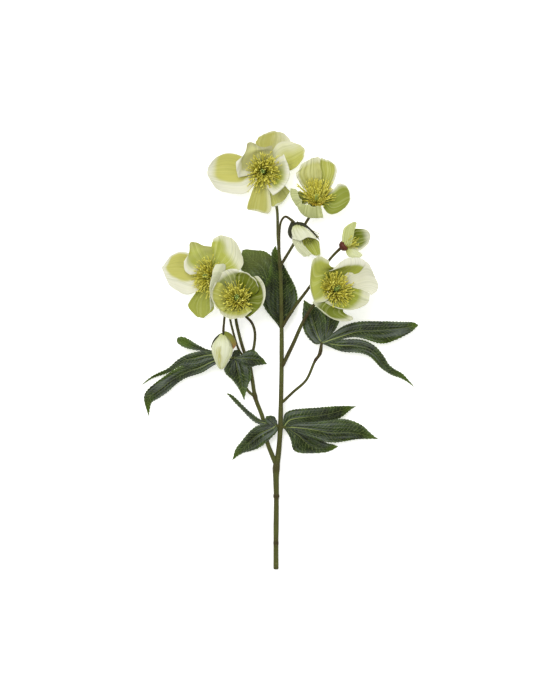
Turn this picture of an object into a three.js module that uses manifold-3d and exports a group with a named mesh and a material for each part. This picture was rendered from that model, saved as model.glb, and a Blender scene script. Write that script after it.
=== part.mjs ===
// A cut stem of hellebore laid on its back: one branching stem with open flowers, buds and palmate leaves.
// Millimetres, +Z up. The plant lies on z = 0 with its cut end towards -Y, and its flowers open upwards.
// The origin is under the middle of the plant.
import * as THREE from "three";
import { mergeVertices } from "three/addons/utils/BufferGeometryUtils.js";
import Module from "manifold-3d";

const wasm = await Module();
wasm.setup();

// Driving dimensions, in millimetres and degrees.
const sepalThickness = 0.8;
const leafThickness = 0.8;
const seatGap = 0.35; // left between any two pieces that meet
const receptacle = { radius: 5.2, height: 3.2 };
const pistil = { radius: 2.6, height: 11, tipRadius: 1 };
const collar = { inner: 3, outer: 4.9, height: 1.6 }; // the ring that the stamens grow from
const stamen = { count: 10, length: 15, radius: 0.65, elevation: 38 };
const stemSides = 6;

const colours = {
  stem: 0x6f7038,
  branch: 0x6a6a34,
  pedicel: 0x5c5a2c,
  leaf: 0x2f4a2a,
  sepal: 0xd3d7a4,
  green: 0xa9b850,
  pistil: 0x9cc070,
  stamens: 0xdcc94a,
  bract: 0x3c3a1e,
  calyx: 0x6a3028,
};

const up = new THREE.Vector3(0, 0, 1);
const radians = THREE.MathUtils.degToRad;
const vector = (p) => new THREE.Vector3(...p);
const headingVector = (degrees) =>
  new THREE.Vector3(Math.cos(radians(degrees)), Math.sin(radians(degrees)), 0);

// A closed surface through rings of points that run counter-clockwise about the way they advance.
// Each ring has an even number of points, so its end is closed by a strip across it.
function loft(rings) {
  const around = rings[0].length;
  const index = [];
  const quad = (a, b, c, d) => index.push(a, b, c, a, c, d);
  for (let i = 0; i < rings.length - 1; i++) {
    for (let k = 0; k < around; k++) {
      const next = (k + 1) % around;
      const here = i * around;
      quad(here + k, here + next, here + around + next, here + around + k);
    }
  }
  const last = (rings.length - 1) * around;
  for (let k = 0; k < around / 2 - 1; k++) {
    const across = around - 1 - k;
    quad(k + 1, k, across, across - 1);
    quad(last + k, last + k + 1, last + across - 1, last + across);
  }
  const positions = rings.flat().flatMap((p) => [p.x, p.y, p.z]);
  const geometry = new THREE.BufferGeometry();
  geometry.setAttribute("position", new THREE.Float32BufferAttribute(positions, 3));
  geometry.setIndex(index);
  return geometry;
}

// A round stem along a smooth curve through points [x, y, z, radius].
// With grow, the stem is that much thicker and longer at both ends.
function stem(points, { steps = 10, sides = stemSides, grow = 0 } = {}) {
  const path = points.map((p) => vector(p.slice(0, 3)));
  if (grow) {
    const first = path[0].clone().sub(path[1]).setLength(grow);
    const end = path.length - 1;
    const final = path[end].clone().sub(path[end - 1]).setLength(grow);
    path[0].add(first);
    path[end].add(final);
  }
  const curve = new THREE.CatmullRomCurve3(path, false, "centripetal");
  const frames = curve.computeFrenetFrames(steps, false);
  const radii = new THREE.CatmullRomCurve3(points.map((p) => new THREE.Vector3(p[3], 0, 0)));
  const rings = [];
  for (let i = 0; i <= steps; i++) {
    const t = curve.getUtoTmapping(i / steps);
    const centre = curve.getPoint(t);
    const radius = radii.getPoint(t).x + grow;
    rings.push(
      Array.from({ length: sides }, (_, k) => {
        const angle = (2 * Math.PI * (k + 0.5)) / sides;
        return centre
          .clone()
          .addScaledVector(frames.normals[i], radius * Math.cos(angle))
          .addScaledVector(frames.binormals[i], radius * Math.sin(angle));
      }),
    );
  }
  return loft(rings);
}

// A sepal or a leaflet: a thin blade along a spine from base to tip.
// The spine leaves the straight line by bow, sideways, and by belly, upwards: u^k (1 - u) scaled to 1
// at its peak, which lies at crest. Its half width is u^a (1 - u)^b scaled to width / 2,
// where a : b sets the widest place and a + b how pointed it is.
// Across the blade its edges stand cup above the spine, and roll turns it about the spine, left edge up.
function blade(base, tip, shape, { thickness, grow = 0, steps = 6, across = 4 }) {
  const { width, widest = 0.6, sharp = 1, foot = 7 } = shape;
  const { bow = 0, belly = 0, crest = 0.5, cup = 0, roll = 0 } = shape;
  const run = tip.clone().sub(base);
  const forward = run.clone().setZ(0).normalize();
  const left = new THREE.Vector3(-forward.y, forward.x, 0);
  const a = widest * sharp;
  const b = (1 - widest) * sharp;
  const peak = widest ** a * (1 - widest) ** b;
  const leastHalfWidth = 0.3;
  const halfWidthAt = (u) => {
    const outline = (width / 2) * ((u ** a * (1 - u) ** b) / peak);
    return Math.max(leastHalfWidth, outline + (foot / 2) * (1 - u) ** 3);
  };
  const power = crest / (1 - crest);
  const archAt = (u) => (u ** power * (1 - u)) / (crest ** power * (1 - crest));
  const spineAt = (u) =>
    base
      .clone()
      .addScaledVector(run, u)
      .addScaledVector(left, bow * archAt(u))
      .addScaledVector(up, belly * archAt(u));
  const step = 1e-3;
  const tangentAt = (u) =>
    spineAt(Math.min(u + step, 1))
      .sub(spineAt(Math.max(u - step, 0)))
      .normalize();
  const acrossAt = (u) => {
    const tangent = tangentAt(u);
    const side = left.clone().addScaledVector(tangent, -left.dot(tangent)).normalize();
    return side.applyAxisAngle(tangent, radians(roll));
  };
  const pointAt = (u, v) => {
    const half = halfWidthAt(u);
    const sideways = acrossAt(u);
    const above = tangentAt(u).cross(sideways);
    return spineAt(u)
      .addScaledVector(sideways, half * v)
      .addScaledVector(above, (cup * v * v * half) / (width / 2));
  };
  const endShare = 0.1; // the outline is blunt at both ends, so the normal there is the one this far in
  const normalAt = (end, v) => {
    const u = THREE.MathUtils.clamp(end, endShare, 1 - endShare);
    const along = pointAt(u + step, v).sub(pointAt(u - step, v));
    const over = pointAt(u, v + step).sub(pointAt(u, v - step));
    return along.cross(over).normalize();
  };
  const rings = [];
  for (let i = 0; i <= steps; i++) {
    const t = i / steps;
    const u = (t + (1 - Math.cos(Math.PI * t)) / 2) / 2;
    const beyond = grow * ((i === steps) - (i === 0));
    const upper = [];
    const lower = [];
    for (let k = 0; k <= across; k++) {
      const v = 1 - (2 * k) / across;
      const middle = pointAt(u, v)
        .addScaledVector(tangentAt(u), beyond)
        .addScaledVector(acrossAt(u), grow * Math.trunc(v));
      const offset = normalAt(u, v).multiplyScalar(thickness / 2 + grow);
      upper.push(middle.clone().add(offset));
      lower.unshift(middle.clone().sub(offset));
    }
    rings.push([...upper, ...lower]);
  }
  return loft(rings);
}

// A body turned about the axis that starts at centre, from a profile of [radius, height] points.
function turned(centre, axis, profile, sides = 8) {
  const geometry = new THREE.LatheGeometry(
    profile.map((p) => new THREE.Vector2(...p)),
    sides,
  );
  geometry.rotateX(Math.PI / 2);
  geometry.applyQuaternion(new THREE.Quaternion().setFromUnitVectors(up, axis));
  return geometry.translate(centre.x, centre.y, centre.z);
}

function solidOf(geometry) {
  const bare = geometry.clone();
  bare.deleteAttribute("normal");
  bare.deleteAttribute("uv");
  const merged = mergeVertices(bare, 1e-4);
  return new wasm.Manifold(
    new wasm.Mesh({
      numProp: 3,
      vertProperties: merged.attributes.position.array,
      triVerts: new Uint32Array(merged.index.array),
    }),
  );
}

function geometryOf(solid) {
  const mesh = solid.getMesh();
  const positions = new Float32Array(mesh.numVert * 3);
  for (let i = 0; i < mesh.numVert; i++) {
    const from = i * mesh.numProp;
    positions.set(mesh.vertProperties.subarray(from, from + 3), i * 3);
  }
  const geometry = new THREE.BufferGeometry();
  geometry.setAttribute("position", new THREE.BufferAttribute(positions, 3));
  geometry.setIndex(new THREE.BufferAttribute(mesh.triVerts, 1));
  geometry.computeVertexNormals();
  return geometry;
}

const joined = (geometries) => geometries.map(solidOf).reduce((whole, next) => whole.add(next));

const plant = new THREE.Group();
const placed = [];

const boxesMeet = (a, b) => [0, 1, 2].every((i) => a.min[i] < b.max[i] && b.min[i] < a.max[i]);

// Adds a piece to the plant. The grown forms of the pieces already there are cut out of it,
// which leaves the seat gap, and only its largest body is kept.
function place(name, solid, grown, colour, roughness = 0.6) {
  let body = solid;
  for (const other of placed) {
    if (boxesMeet(body.boundingBox(), other.boundingBox())) body = body.subtract(other);
  }
  const bodies = body.decompose().sort((a, b) => b.volume() - a.volume());
  const material = new THREE.MeshStandardMaterial({ color: colour, roughness, metalness: 0 });
  const mesh = new THREE.Mesh(geometryOf(bodies[0]), material);
  mesh.name = name;
  plant.add(mesh);
  placed.push(grown);
}

function placeStem(name, points, colour, options = {}) {
  const solid = solidOf(stem(points, options));
  const grown = solidOf(stem(points, { ...options, grow: seatGap }));
  place(name, solid, grown, colour, 0.65);
}

// The point where a flower's stalk meets its receptacle, and a point straight behind it.
const neckOf = (flower, behind = 0) =>
  vector(flower.centre)
    .addScaledVector(axisOf(flower), -receptacle.height - seatGap - behind)
    .toArray();
const axisOf = (flower) => vector(flower.axis).normalize();

// Where a sepal leaves the receptacle: on its rim, under the sepal's heading.
function footOf(flower, heading, drop, radius = receptacle.radius) {
  const axis = axisOf(flower);
  const outward = headingVector(heading);
  outward.addScaledVector(axis, -outward.dot(axis)).normalize();
  return vector(flower.centre)
    .addScaledVector(outward, radius + seatGap)
    .addScaledVector(axis, drop);
}

function placeSepals(flower) {
  for (const sepal of flower.sepals) {
    const base = footOf(flower, sepal.heading, sepal.drop, flower.rim);
    const tip = vector(flower.centre)
      .addScaledVector(headingVector(sepal.heading), sepal.reach)
      .addScaledVector(up, sepal.rise);
    const form = { thickness: sepalThickness };
    place(
      `${flower.name}_sepal_${sepal.name}`,
      solidOf(blade(base, tip, sepal, form)),
      solidOf(blade(base, tip, sepal, { ...form, grow: seatGap })),
      colours[sepal.tone ?? "sepal"],
    );
  }
}

function placePistil(flower) {
  const { radius, height } = receptacle;
  const profile = (grow) => [
    [0, -height - grow],
    [radius * 0.55 + grow, -height - grow],
    [radius + grow, -height * 0.6 - grow],
    [radius + grow, grow],
    [pistil.radius + grow, 0.6 + grow],
    [pistil.radius + grow, pistil.height * 0.6],
    [pistil.tipRadius + grow, pistil.height + grow],
    [0, pistil.height + grow],
  ];
  const make = (grow) => solidOf(turned(vector(flower.centre), axisOf(flower), profile(grow)));
  place(`${flower.name}_pistil`, make(0), make(seatGap), colours.pistil);
}

// One body: a collar round the pistil with the filaments spreading from it, each ending in an anther.
function placeStamens(flower) {
  const axis = axisOf(flower);
  const seat = vector(flower.centre).addScaledVector(axis, 1);
  const ring = [
    [collar.inner, 0],
    [collar.outer, 0],
    [collar.outer, collar.height],
    [collar.inner, collar.height],
    [collar.inner, 0],
  ];
  const across = headingVector(0).addScaledVector(axis, -axis.x).normalize();
  const middle = (collar.inner + collar.outer) / 2;
  const parts = [turned(seat, axis, ring)];
  for (let i = 0; i < stamen.count; i++) {
    const outward = across.clone().applyAxisAngle(axis, (2 * Math.PI * i) / stamen.count);
    const lean = radians(stamen.elevation + (i % 2 ? 14 : -8));
    const along = outward
      .clone()
      .multiplyScalar(Math.cos(lean))
      .addScaledVector(axis, Math.sin(lean));
    const root = seat.clone().addScaledVector(outward, middle).addScaledVector(axis, collar.height / 2);
    const at = (distance, radius) => [...root.clone().addScaledVector(along, distance), radius];
    const { length, radius } = stamen;
    parts.push(stem([at(0, radius), at(length, radius * 1.2)], { steps: 1, sides: 4 }));
  }
  place(`${flower.name}_stamens`, joined(parts), joined(parts), colours.stamens);
}

// A palmate leaf in one body: its stalk, and leaflets that spread from the stalk's far end.
function placeLeaf(leaf) {
  const hub = vector(leaf.hub);
  const make = (grow) =>
    joined([
      stem(leaf.stalk, { steps: leaf.stalkSteps ?? 3, sides: 6, grow }),
      ...leaf.leaflets.map((leaflet) => {
        const tip = hub
          .clone()
          .addScaledVector(headingVector(leaflet.heading), leaflet.reach)
          .addScaledVector(up, leaflet.rise);
        const shape = { widest: 0.45, sharp: 1.7, foot: 3, ...leaflet };
        return blade(hub, tip, shape, { thickness: leafThickness, steps: 7, across: 2, grow });
      }),
    ]);
  place(leaf.name, make(0), make(seatGap), colours.leaf);
}

// The open flowers. A sepal's heading and reach are measured in plan from the flower's centre,
// its rise is the height of its tip over that centre, and drop is where it leaves the receptacle,
// along the flower's axis. Those that overlap leave it at different heights.
const topFlower = {
  name: "top_flower",
  centre: [-16.4, 177.8, 15],
  axis: [-0.12, 0, 1],
  sepals: [
    {
      name: "inner_right", drop: -0.4, heading: -18, reach: 25, rise: 20,
      width: 42, belly: -3, cup: 3.5, roll: 2,
    },
    {
      name: "inner_left", drop: -0.4, heading: 123, reach: 34, rise: 14,
      width: 40, sharp: 0.8, belly: -3, cup: 3, roll: 5,
    },
    { name: "left", drop: -1.4, heading: 182, reach: 57, rise: 9, width: 40, belly: -2, cup: 5, roll: 5 },
    {
      name: "top", drop: -2.2, heading: 70, reach: 43, rise: -14.5,
      width: 35, widest: 0.68, belly: 4, cup: -1,
    },
    {
      name: "right", drop: -1.4, heading: 30, reach: 45, rise: 2,
      width: 31, widest: 0.65, belly: 2.5, cup: 3, roll: 2,
    },
    {
      name: "lower_right", drop: -2.8, heading: -50, reach: 33, rise: -2,
      width: 25, cup: -1, roll: 4, tone: "green",
    },
    {
      name: "bottom", drop: -0.8, heading: -99, reach: 42, rise: 4,
      width: 26, widest: 0.74, sharp: 0.9, cup: -1, roll: 3,
    },
  ],
};

const upperRightFlower = {
  name: "upper_right_flower",
  centre: [36, 149, 20],
  axis: [0.05, 0.45, 0.9],
  sepals: [
    { name: "bottom", drop: -0.6, heading: -105, reach: 18, rise: 17.5, width: 27, belly: -4.5, cup: 3 },
    {
      name: "top_left", drop: -0.4, heading: 97, reach: 45, rise: 11.5,
      width: 31, belly: -1.5, cup: 2.5, roll: -4,
    },
    { name: "left", drop: -1.8, heading: 170, reach: 25, rise: 16.5, width: 24, belly: -3.5, cup: 3.5 },
    { name: "top_right", drop: -2.4, heading: 70, reach: 44, rise: 5, width: 29, cup: 1.5 },
    {
      name: "right", drop: -0.4, heading: 1, reach: 35, rise: 8.5,
      width: 30, belly: -2, cup: 4.5, roll: 2, tone: "green",
    },
  ],
};

const leftFlower = {
  name: "left_flower",
  centre: [-69, 73, 21],
  axis: [-0.55, 0.05, 0.8],
  sepals: [
    {
      name: "upper_left", drop: -1.8, heading: 116, reach: 39, rise: 11.5,
      width: 30, belly: -2, cup: 2, roll: 5,
    },
    {
      name: "right", drop: -0.4, heading: -74, reach: 11, rise: 27.5,
      width: 42, belly: 2, cup: 4, roll: 72,
    },
    {
      name: "left", drop: -2.6, heading: 172, reach: 49, rise: 3.5,
      width: 43, belly: -3.5, cup: 5, roll: -4,
    },
    {
      name: "upper_right", drop: -2.4, heading: 54, reach: 43, rise: 0.5,
      width: 35, belly: 2.5, cup: 4, roll: 3,
    },
    {
      name: "bottom", drop: -1.2, heading: -106, reach: 42, rise: 0,
      width: 25, belly: -1.5, cup: 3, roll: 6, tone: "green",
    },
  ],
};

const cupFlower = {
  name: "cup_flower",
  centre: [-42, 50, 27],
  axis: [-0.1, 0.3, 0.95],
  sepals: [
    {
      name: "left", drop: -2, heading: 184, reach: 26, rise: 20.5,
      width: 38, belly: -7, cup: 4.5, roll: -3, tone: "green",
    },
    {
      name: "upper_right", drop: -2.2, heading: 50, reach: 28, rise: 14.5,
      width: 34, belly: -5, cup: 2.5, roll: 11,
    },
    {
      name: "bottom", drop: -1, heading: -97, reach: 22, rise: 18.5,
      width: 38, belly: -3.5, cup: 6, roll: -3,
    },
    { name: "top", drop: -2.8, heading: 118, reach: 30, rise: 13.5, width: 34, belly: -4, cup: 2.5 },
    {
      name: "right", drop: -2.8, heading: 8, reach: 30, rise: 19.5,
      width: 34, belly: -4, cup: 5.5, roll: 2,
    },
  ],
};

const rightFlower = {
  name: "right_flower",
  centre: [54, 59, 28],
  axis: [0.4, 0.3, 0.85],
  sepals: [
    {
      name: "left", drop: -1.2, heading: 144, reach: 29, rise: 26,
      width: 46, belly: -5, cup: 4.5, roll: -5,
    },
    {
      name: "right", drop: -1.6, heading: 15, reach: 44, rise: 11,
      width: 36, belly: -2.5, cup: 4.5, roll: 9,
    },
    { name: "lower_right", drop: -1, heading: -25, reach: 38, rise: 15, width: 25, belly: -5, cup: 6 },
    { name: "top", drop: -2.8, heading: 58, reach: 41, rise: 7.5, width: 35, belly: -1, cup: 1.5, roll: 6 },
    {
      name: "bottom", drop: -0.4, heading: -84, reach: 30, rise: 14.5,
      width: 40, belly: -1.5, cup: 4.5, bow: -3,
    },
  ],
};

const openFlowers = [topFlower, upperRightFlower, leftFlower, cupFlower, rightFlower];

// The buds that show their sepals. rim is the radius that the sepals leave their receptacle at.
const noddingBud = {
  name: "nodding_bud",
  centre: [15.5, 123.5, 31],
  axis: [0.5, -0.84, 0.1],
  rim: 2.6,
  sepals: [
    {
      name: "top", drop: -0.4, heading: -50, reach: 32, rise: 2.5,
      width: 24, foot: 5, belly: 7.5, cup: -4.5,
    },
    {
      name: "right", drop: -2.8, heading: -46, reach: 35, rise: -5.5,
      width: 16, foot: 4, belly: -5, cup: 2, roll: 4, bow: 3,
    },
    {
      name: "left", drop: -2.8, heading: -64, reach: 36, rise: -7,
      width: 18, foot: 4, belly: -7, cup: 2.5, roll: -7, bow: -3,
    },
  ],
};

const openingBud = {
  name: "opening_bud",
  centre: [64, 103.5, 27],
  axis: [0.85, 0.45, 0.25],
  rim: 2.6,
  sepals: [
    { name: "right", drop: -2.8, heading: 22, reach: 28, rise: 5, width: 23, foot: 4, belly: -5, cup: 3.5 },
    {
      name: "top", drop: -0.8, heading: 62, reach: 26, rise: 8,
      width: 15, foot: 4, belly: 3, cup: -3.5, roll: 4,
    },
    {
      name: "bottom", drop: -1.2, heading: -17, reach: 22, rise: 4.5,
      width: 12, foot: 4, belly: -0.5, cup: 3,
    },
  ],
};

// The stems. Each point is [x, y, z, radius].
const mainStem = [
  [-4, -218.8, 2.4, 2.4],
  [-4, -193, 2.7, 2.35],
  [-3.6, -148, 3.6, 2.4],
  [-3.7, -118, 5, 3],
  [-1.6, -104, 6.4, 2.5],
  [0.3, -80, 8.6, 2.4],
  [0.9, -55, 10, 2.1],
  [1.6, -17, 12, 2.1],
  [1.6, 23, 13.5, 1.9],
  [0.6, 75, 14.5, 1.6],
  [-2, 112, 14, 1.3],
  [-3.6, 144, 11, 1.2],
  [-11, 164, 8, 1.2],
  [...neckOf(topFlower), 1.5],
];
const leftBranch = [
  [-4.5, -113, 5.2, 2.2],
  [-13, -91, 7, 2],
  [-17.2, -68, 9, 1.9],
  [-24.6, -47.5, 11, 1.8],
  [-28, -27, 12.5, 1.8],
  [-31, -12, 13.5, 1.7],
  [-35.8, -1.5, 14, 1.5],
  [-43, 25, 14, 1.4],
  [-47, 50, 13, 1.3],
  [-56, 66, 13, 1.3],
  [...neckOf(leftFlower), 1.5],
];
const pedicels = [
  {
    name: "pedicel_cup_flower",
    points: [
      [-30.5, -12, 14, 1.3],
      [-26, 3, 16, 1.3],
      [-25, 17.6, 18, 1.2],
      [-28, 27, 18.5, 1.2],
      [-35, 35, 18.5, 1.2],
      [...neckOf(cupFlower, 3), 1.3],
      [...neckOf(cupFlower), 1.5],
    ],
  },
  {
    name: "pedicel_hanging_bud",
    points: [
      [-34.5, -8, 14, 1.1],
      [-40.6, -0.5, 16, 1],
      [-48.5, 25, 19, 1],
      [-51, 36, 21.5, 1],
      [-54, 36.5, 25, 1],
      [-55.8, 25, 31, 1],
      [-56.3, 17.6, 32.5, 1.2],
    ],
  },
  {
    name: "pedicel_right_flower",
    points: [
      [2.4, -16, 12.5, 1.9],
      [13, 6, 16.5, 1.7],
      [23, 28, 20, 1.6],
      [34, 45, 22, 1.5],
      [...neckOf(rightFlower, 4), 1.5],
      [...neckOf(rightFlower), 1.6],
    ],
  },
  {
    name: "pedicel_opening_bud",
    points: [
      [2, 23, 14, 1.6],
      [14, 42, 17, 1.4],
      [27.7, 60.4, 18.5, 1.3],
      [42, 80, 20, 1.2],
      [52, 93, 23, 1.2],
      [...neckOf(openingBud), 1.4],
    ],
  },
  {
    name: "pedicel_upper_right_flower",
    points: [
      [0.6, 84, 15, 1.3],
      [13, 104.5, 15, 1.3],
      [25.3, 126, 13, 1.2],
      [30, 134, 12.5, 1.2],
      [...neckOf(upperRightFlower), 1.4],
    ],
  },
  {
    name: "pedicel_nodding_bud",
    points: [
      [-0.6, 98, 15.8, 1],
      [-0.6, 116, 20, 1],
      [1.2, 128, 24, 1],
      [5.2, 132.5, 27, 1],
      [10.6, 129.5, 30, 1.2],
      [...neckOf(noddingBud), 1.6],
    ],
  },
];

// The leaves. Each leaflet's heading, reach and rise are measured from the hub.
const leaves = [
  {
    name: "leaf_behind_stem",
    hub: [0.4, 30, 9],
    stalk: [[1.4, 20, 12, 1], [1, 25, 10.2, 1], [0.4, 31, 9, 0.9]],
    leaflets: [
      { heading: 95, reach: 75, rise: -8, width: 35, widest: 0.42, belly: -2, cup: 2 },
      { heading: 110, reach: 79, rise: -4, width: 29, widest: 0.78, sharp: 1, belly: -3, cup: -2, bow: 6 },
    ],
  },
  {
    name: "leaf_upper_right",
    hub: [41.5, 7, 18],
    stalkSteps: 10,
    stalk: [
      [2.6, -52, 10.6, 1.3],
      [13, -42, 12, 1.2],
      [26, -30, 14.5, 1.2],
      [35, -10.5, 17, 1.3],
      [39.5, -4, 17.8, 1.4],
      [41.5, 7.6, 18, 1.1],
    ],
    leaflets: [
      { heading: 10, reach: 98, rise: -9, width: 21, widest: 0.55, belly: 2, cup: 2, bow: 2 },
      {
        heading: -25.5, reach: 103, rise: -17.5,
        width: 13, widest: 0.4, belly: 4, cup: -2, bow: 14, crest: 0.45,
      },
      { heading: 113, reach: 46, rise: -8, width: 21, widest: 0.42, sharp: 1.3, cup: 2 },
      { heading: 70, reach: 36, rise: -8, width: 20, widest: 0.5, sharp: 1.3, cup: 2 },
    ],
  },
  {
    name: "leaf_lower_right",
    hub: [5.5, -77, 10.5],
    stalk: [[2.4, -77, 9.5, 1.4], [4, -77, 10, 1.3], [6, -77, 10.5, 1]],
    leaflets: [
      { heading: 15.5, reach: 73, rise: -3, width: 19, widest: 0.42, belly: 2, cup: 2, bow: -1 },
      { heading: -7.5, reach: 93, rise: -9.5, width: 23, widest: 0.62, belly: 3, cup: 2, bow: 4 },
      { heading: -20, reach: 56, rise: -9, width: 22, widest: 0.5, sharp: 1.2, belly: 1, cup: -3, bow: -7 },
    ],
  },
  {
    name: "leaf_lower_left",
    hub: [-4, -75, 13],
    stalk: [[-1.8, -76, 11.5, 1.2], [-3, -75.5, 12.5, 1.1], [-4.2, -75, 13, 0.9]],
    leaflets: [
      { heading: 147, reach: 58, rise: 0, width: 7, widest: 0.55, sharp: 1.1, cup: 1, bow: 1 },
      { heading: 157, reach: 17, rise: 1, width: 9, widest: 0.5, sharp: 1.1, cup: -1, bow: -4 },
      { heading: 218, reach: 56, rise: -11, width: 19, widest: 0.45, sharp: 1.4, belly: 2, cup: -2, bow: -2 },
    ],
  },
  {
    name: "leaf_left",
    hub: [-47, -8, 18],
    stalkSteps: 8,
    stalk: [
      [-26.5, -45.5, 12.5, 1.2],
      [-32, -40.5, 13, 1.2],
      [-40, -25, 15, 1.2],
      [-46, -10.5, 17, 1.2],
      [-47.2, -7.4, 18, 0.9],
    ],
    leaflets: [
      { heading: 161, reach: 58, rise: -7, width: 9, widest: 0.66, sharp: 1.1, cup: 1, belly: 2, bow: 2 },
      { heading: 196.5, reach: 95, rise: -15, width: 9.5, widest: 0.45, cup: 1, belly: 5, bow: -11 },
      {
        heading: 215, reach: 103, rise: -17.5,
        width: 18, widest: 0.6, sharp: 1.3, belly: 5, bow: -19, crest: 0.62,
      },
      { heading: -75, reach: 43, rise: -2, width: 24, widest: 0.33, sharp: 1.5, cup: 1, belly: 1 },
      { heading: -9.5, reach: 35, rise: 2, width: 17, widest: 0.55, sharp: 1.4, cup: -1, belly: 2, bow: 2 },
    ],
  },
];

placeStem("main_stem", mainStem, colours.stem, { steps: 26, sides: 8 });
placeStem("left_branch", leftBranch, colours.branch, { steps: 18, sides: 8 });
for (const { name, points } of pedicels) placeStem(name, points, colours.pedicel);

for (const flower of openFlowers) {
  placePistil(flower);
  placeSepals(flower);
}

// A bud's receptacle is a small cup at the end of its stalk.
function placeCalyx(bud, name, colour, size) {
  const profile = (grow) => [
    [0, -receptacle.height - grow],
    [size * 0.55 + grow, -receptacle.height - grow],
    [size + grow, -receptacle.height * 0.4],
    [size + grow, grow],
    [size * 0.5 + grow, size + grow],
    [0, size + grow],
  ];
  const make = (grow) => solidOf(turned(vector(bud.centre), axisOf(bud), profile(grow)));
  place(`${bud.name}_${name}`, make(0), make(seatGap), colour);
}
placeCalyx(noddingBud, "receptacle", colours.bract, 2.4);
placeCalyx(openingBud, "calyx", colours.calyx, 2.6);
placeSepals(noddingBud);
placeSepals(openingBud);

// The closed bud hangs from its stalk, an egg shape turned about its axis.
const closedBud = {
  name: "hanging_bud",
  centre: [-56.3, 17, 32.5],
  axis: [-0.06, -1, 0],
  profile: [[0, 0], [5, 1.2], [9.2, 6], [11, 13], [10.4, 21], [7.6, 29], [4, 34], [0, 36]],
};
const budBody = (grow) =>
  solidOf(
    turned(
      vector(closedBud.centre),
      axisOf(closedBud),
      closedBud.profile.map(([r, h]) => [r ? r + grow : 0, h && r ? h : h + Math.sign(h - 1) * grow]),
      12,
    ),
  );
place("hanging_bud_body", budBody(0), budBody(seatGap), colours.sepal);

for (const leaf of leaves) placeLeaf(leaf);
for (const flower of openFlowers) placeStamens(flower);

export default plant;
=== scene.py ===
import math
from functools import partial

import bpy
import numpy as np
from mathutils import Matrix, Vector
from mathutils.bvhtree import BVHTree


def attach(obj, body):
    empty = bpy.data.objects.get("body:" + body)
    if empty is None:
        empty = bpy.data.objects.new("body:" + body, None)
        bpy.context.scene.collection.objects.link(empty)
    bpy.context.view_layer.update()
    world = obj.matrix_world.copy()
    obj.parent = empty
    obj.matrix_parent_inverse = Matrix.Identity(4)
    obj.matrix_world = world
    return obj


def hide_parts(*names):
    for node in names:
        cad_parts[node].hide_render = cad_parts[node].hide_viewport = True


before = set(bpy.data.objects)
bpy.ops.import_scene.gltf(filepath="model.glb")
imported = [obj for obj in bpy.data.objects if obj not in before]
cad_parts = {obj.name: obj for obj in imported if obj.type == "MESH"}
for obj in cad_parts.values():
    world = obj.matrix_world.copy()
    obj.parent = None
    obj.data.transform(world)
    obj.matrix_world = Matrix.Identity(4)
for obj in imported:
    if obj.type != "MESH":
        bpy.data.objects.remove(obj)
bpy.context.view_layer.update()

millimetre = 0.001
fullTurn = 2 * math.pi
goldenAngle = 2.39996  # from each stamen to the next, in radians


# Vectors at length 1.
def unit(v):
    return v / np.maximum(np.linalg.norm(v, axis=-1, keepdims=True), 1e-9)


# The level direction that a compass angle gives: cosine, sine and 0, with 0 along x.
def heading(degrees):
    turn = math.radians(degrees)
    return np.array([math.cos(turn), math.sin(turn), 0.0])


# 0 below low, 1 above high, and t^2 (3 - 2t) between.
def blendStep(low, high, x):
    t = np.clip((x - low) / (high - low), 0, 1)
    return t * t * (3 - 2 * t)


# A smooth uneven line, about -1 to 1: three sines of growing pitch with phases drawn from the seed.
def wavyLine(x, waves, seed):
    phases = np.random.default_rng(seed).uniform(0, fullTurn, 3)
    return sum(np.sin(x * waves * pitch * fullTurn + phase) / pitch
               for pitch, phase in zip((1, 1.7, 3.1), phases)) / 1.9


# How far along its line each point lies: the lengths of the steps up to it, added up.
def runAlong(points, axis=0):
    first = np.take(points, [0], axis)
    return np.linalg.norm(np.diff(points, axis=axis, prepend=first), axis=-1).cumsum(axis=axis)


# The curve through the points that the frame's stems follow: a Catmull-Rom curve whose knots are
# spaced by the square root of the distance between points. Returns places at t, from 0 to 1.
def throughPoints(points, t):
    padded = np.vstack([2 * points[0] - points[1], points, 2 * points[-1] - points[-2]])
    place = np.clip(t, 0, 1) * (len(points) - 1)
    i = np.minimum(place.astype(int), len(points) - 2)
    w = (place - i)[:, None]
    p0, p1, p2, p3 = padded[i], padded[i + 1], padded[i + 2], padded[i + 3]
    d0, d1, d2 = (np.linalg.norm(step, axis=1, keepdims=True) ** 0.5 for step in (p1 - p0, p2 - p1, p3 - p2))
    m1 = d1 * ((p1 - p0) / d0 - (p2 - p0) / (d0 + d1) + (p2 - p1) / d1)
    m2 = d1 * ((p2 - p1) / d1 - (p3 - p1) / (d1 + d2) + (p3 - p2) / d2)
    return p1 + m1 * w + (3 * (p2 - p1) - 2 * m1 - m2) * w**2 + (2 * (p1 - p2) + m1 + m2) * w**3


# A part is points in millimetres, quads and triangles, a UV for each point and named values at each point.
# This stacks several into one, the point numbers of each moved up by the points before it.
def joinParts(parts):
    starts = np.cumsum([0] + [len(part["points"]) for part in parts[:-1]])
    joined = {kind: np.vstack([part[kind] for part in parts]) for kind in ("points", "uv")}
    for kind in ("quads", "tris"):
        joined[kind] = np.vstack([part[kind] + start for part, start in zip(parts, starts)])
    joined["values"] = {name: np.concatenate([part["values"][name] for part in parts])
                        for name in parts[0]["values"]}
    return joined


# The grid's first way crossed with its second: up for a blade that runs forward with v to its left.
def gridNormals(points):
    return unit(np.cross(np.gradient(points, axis=0), np.gradient(points, axis=1)))


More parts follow.
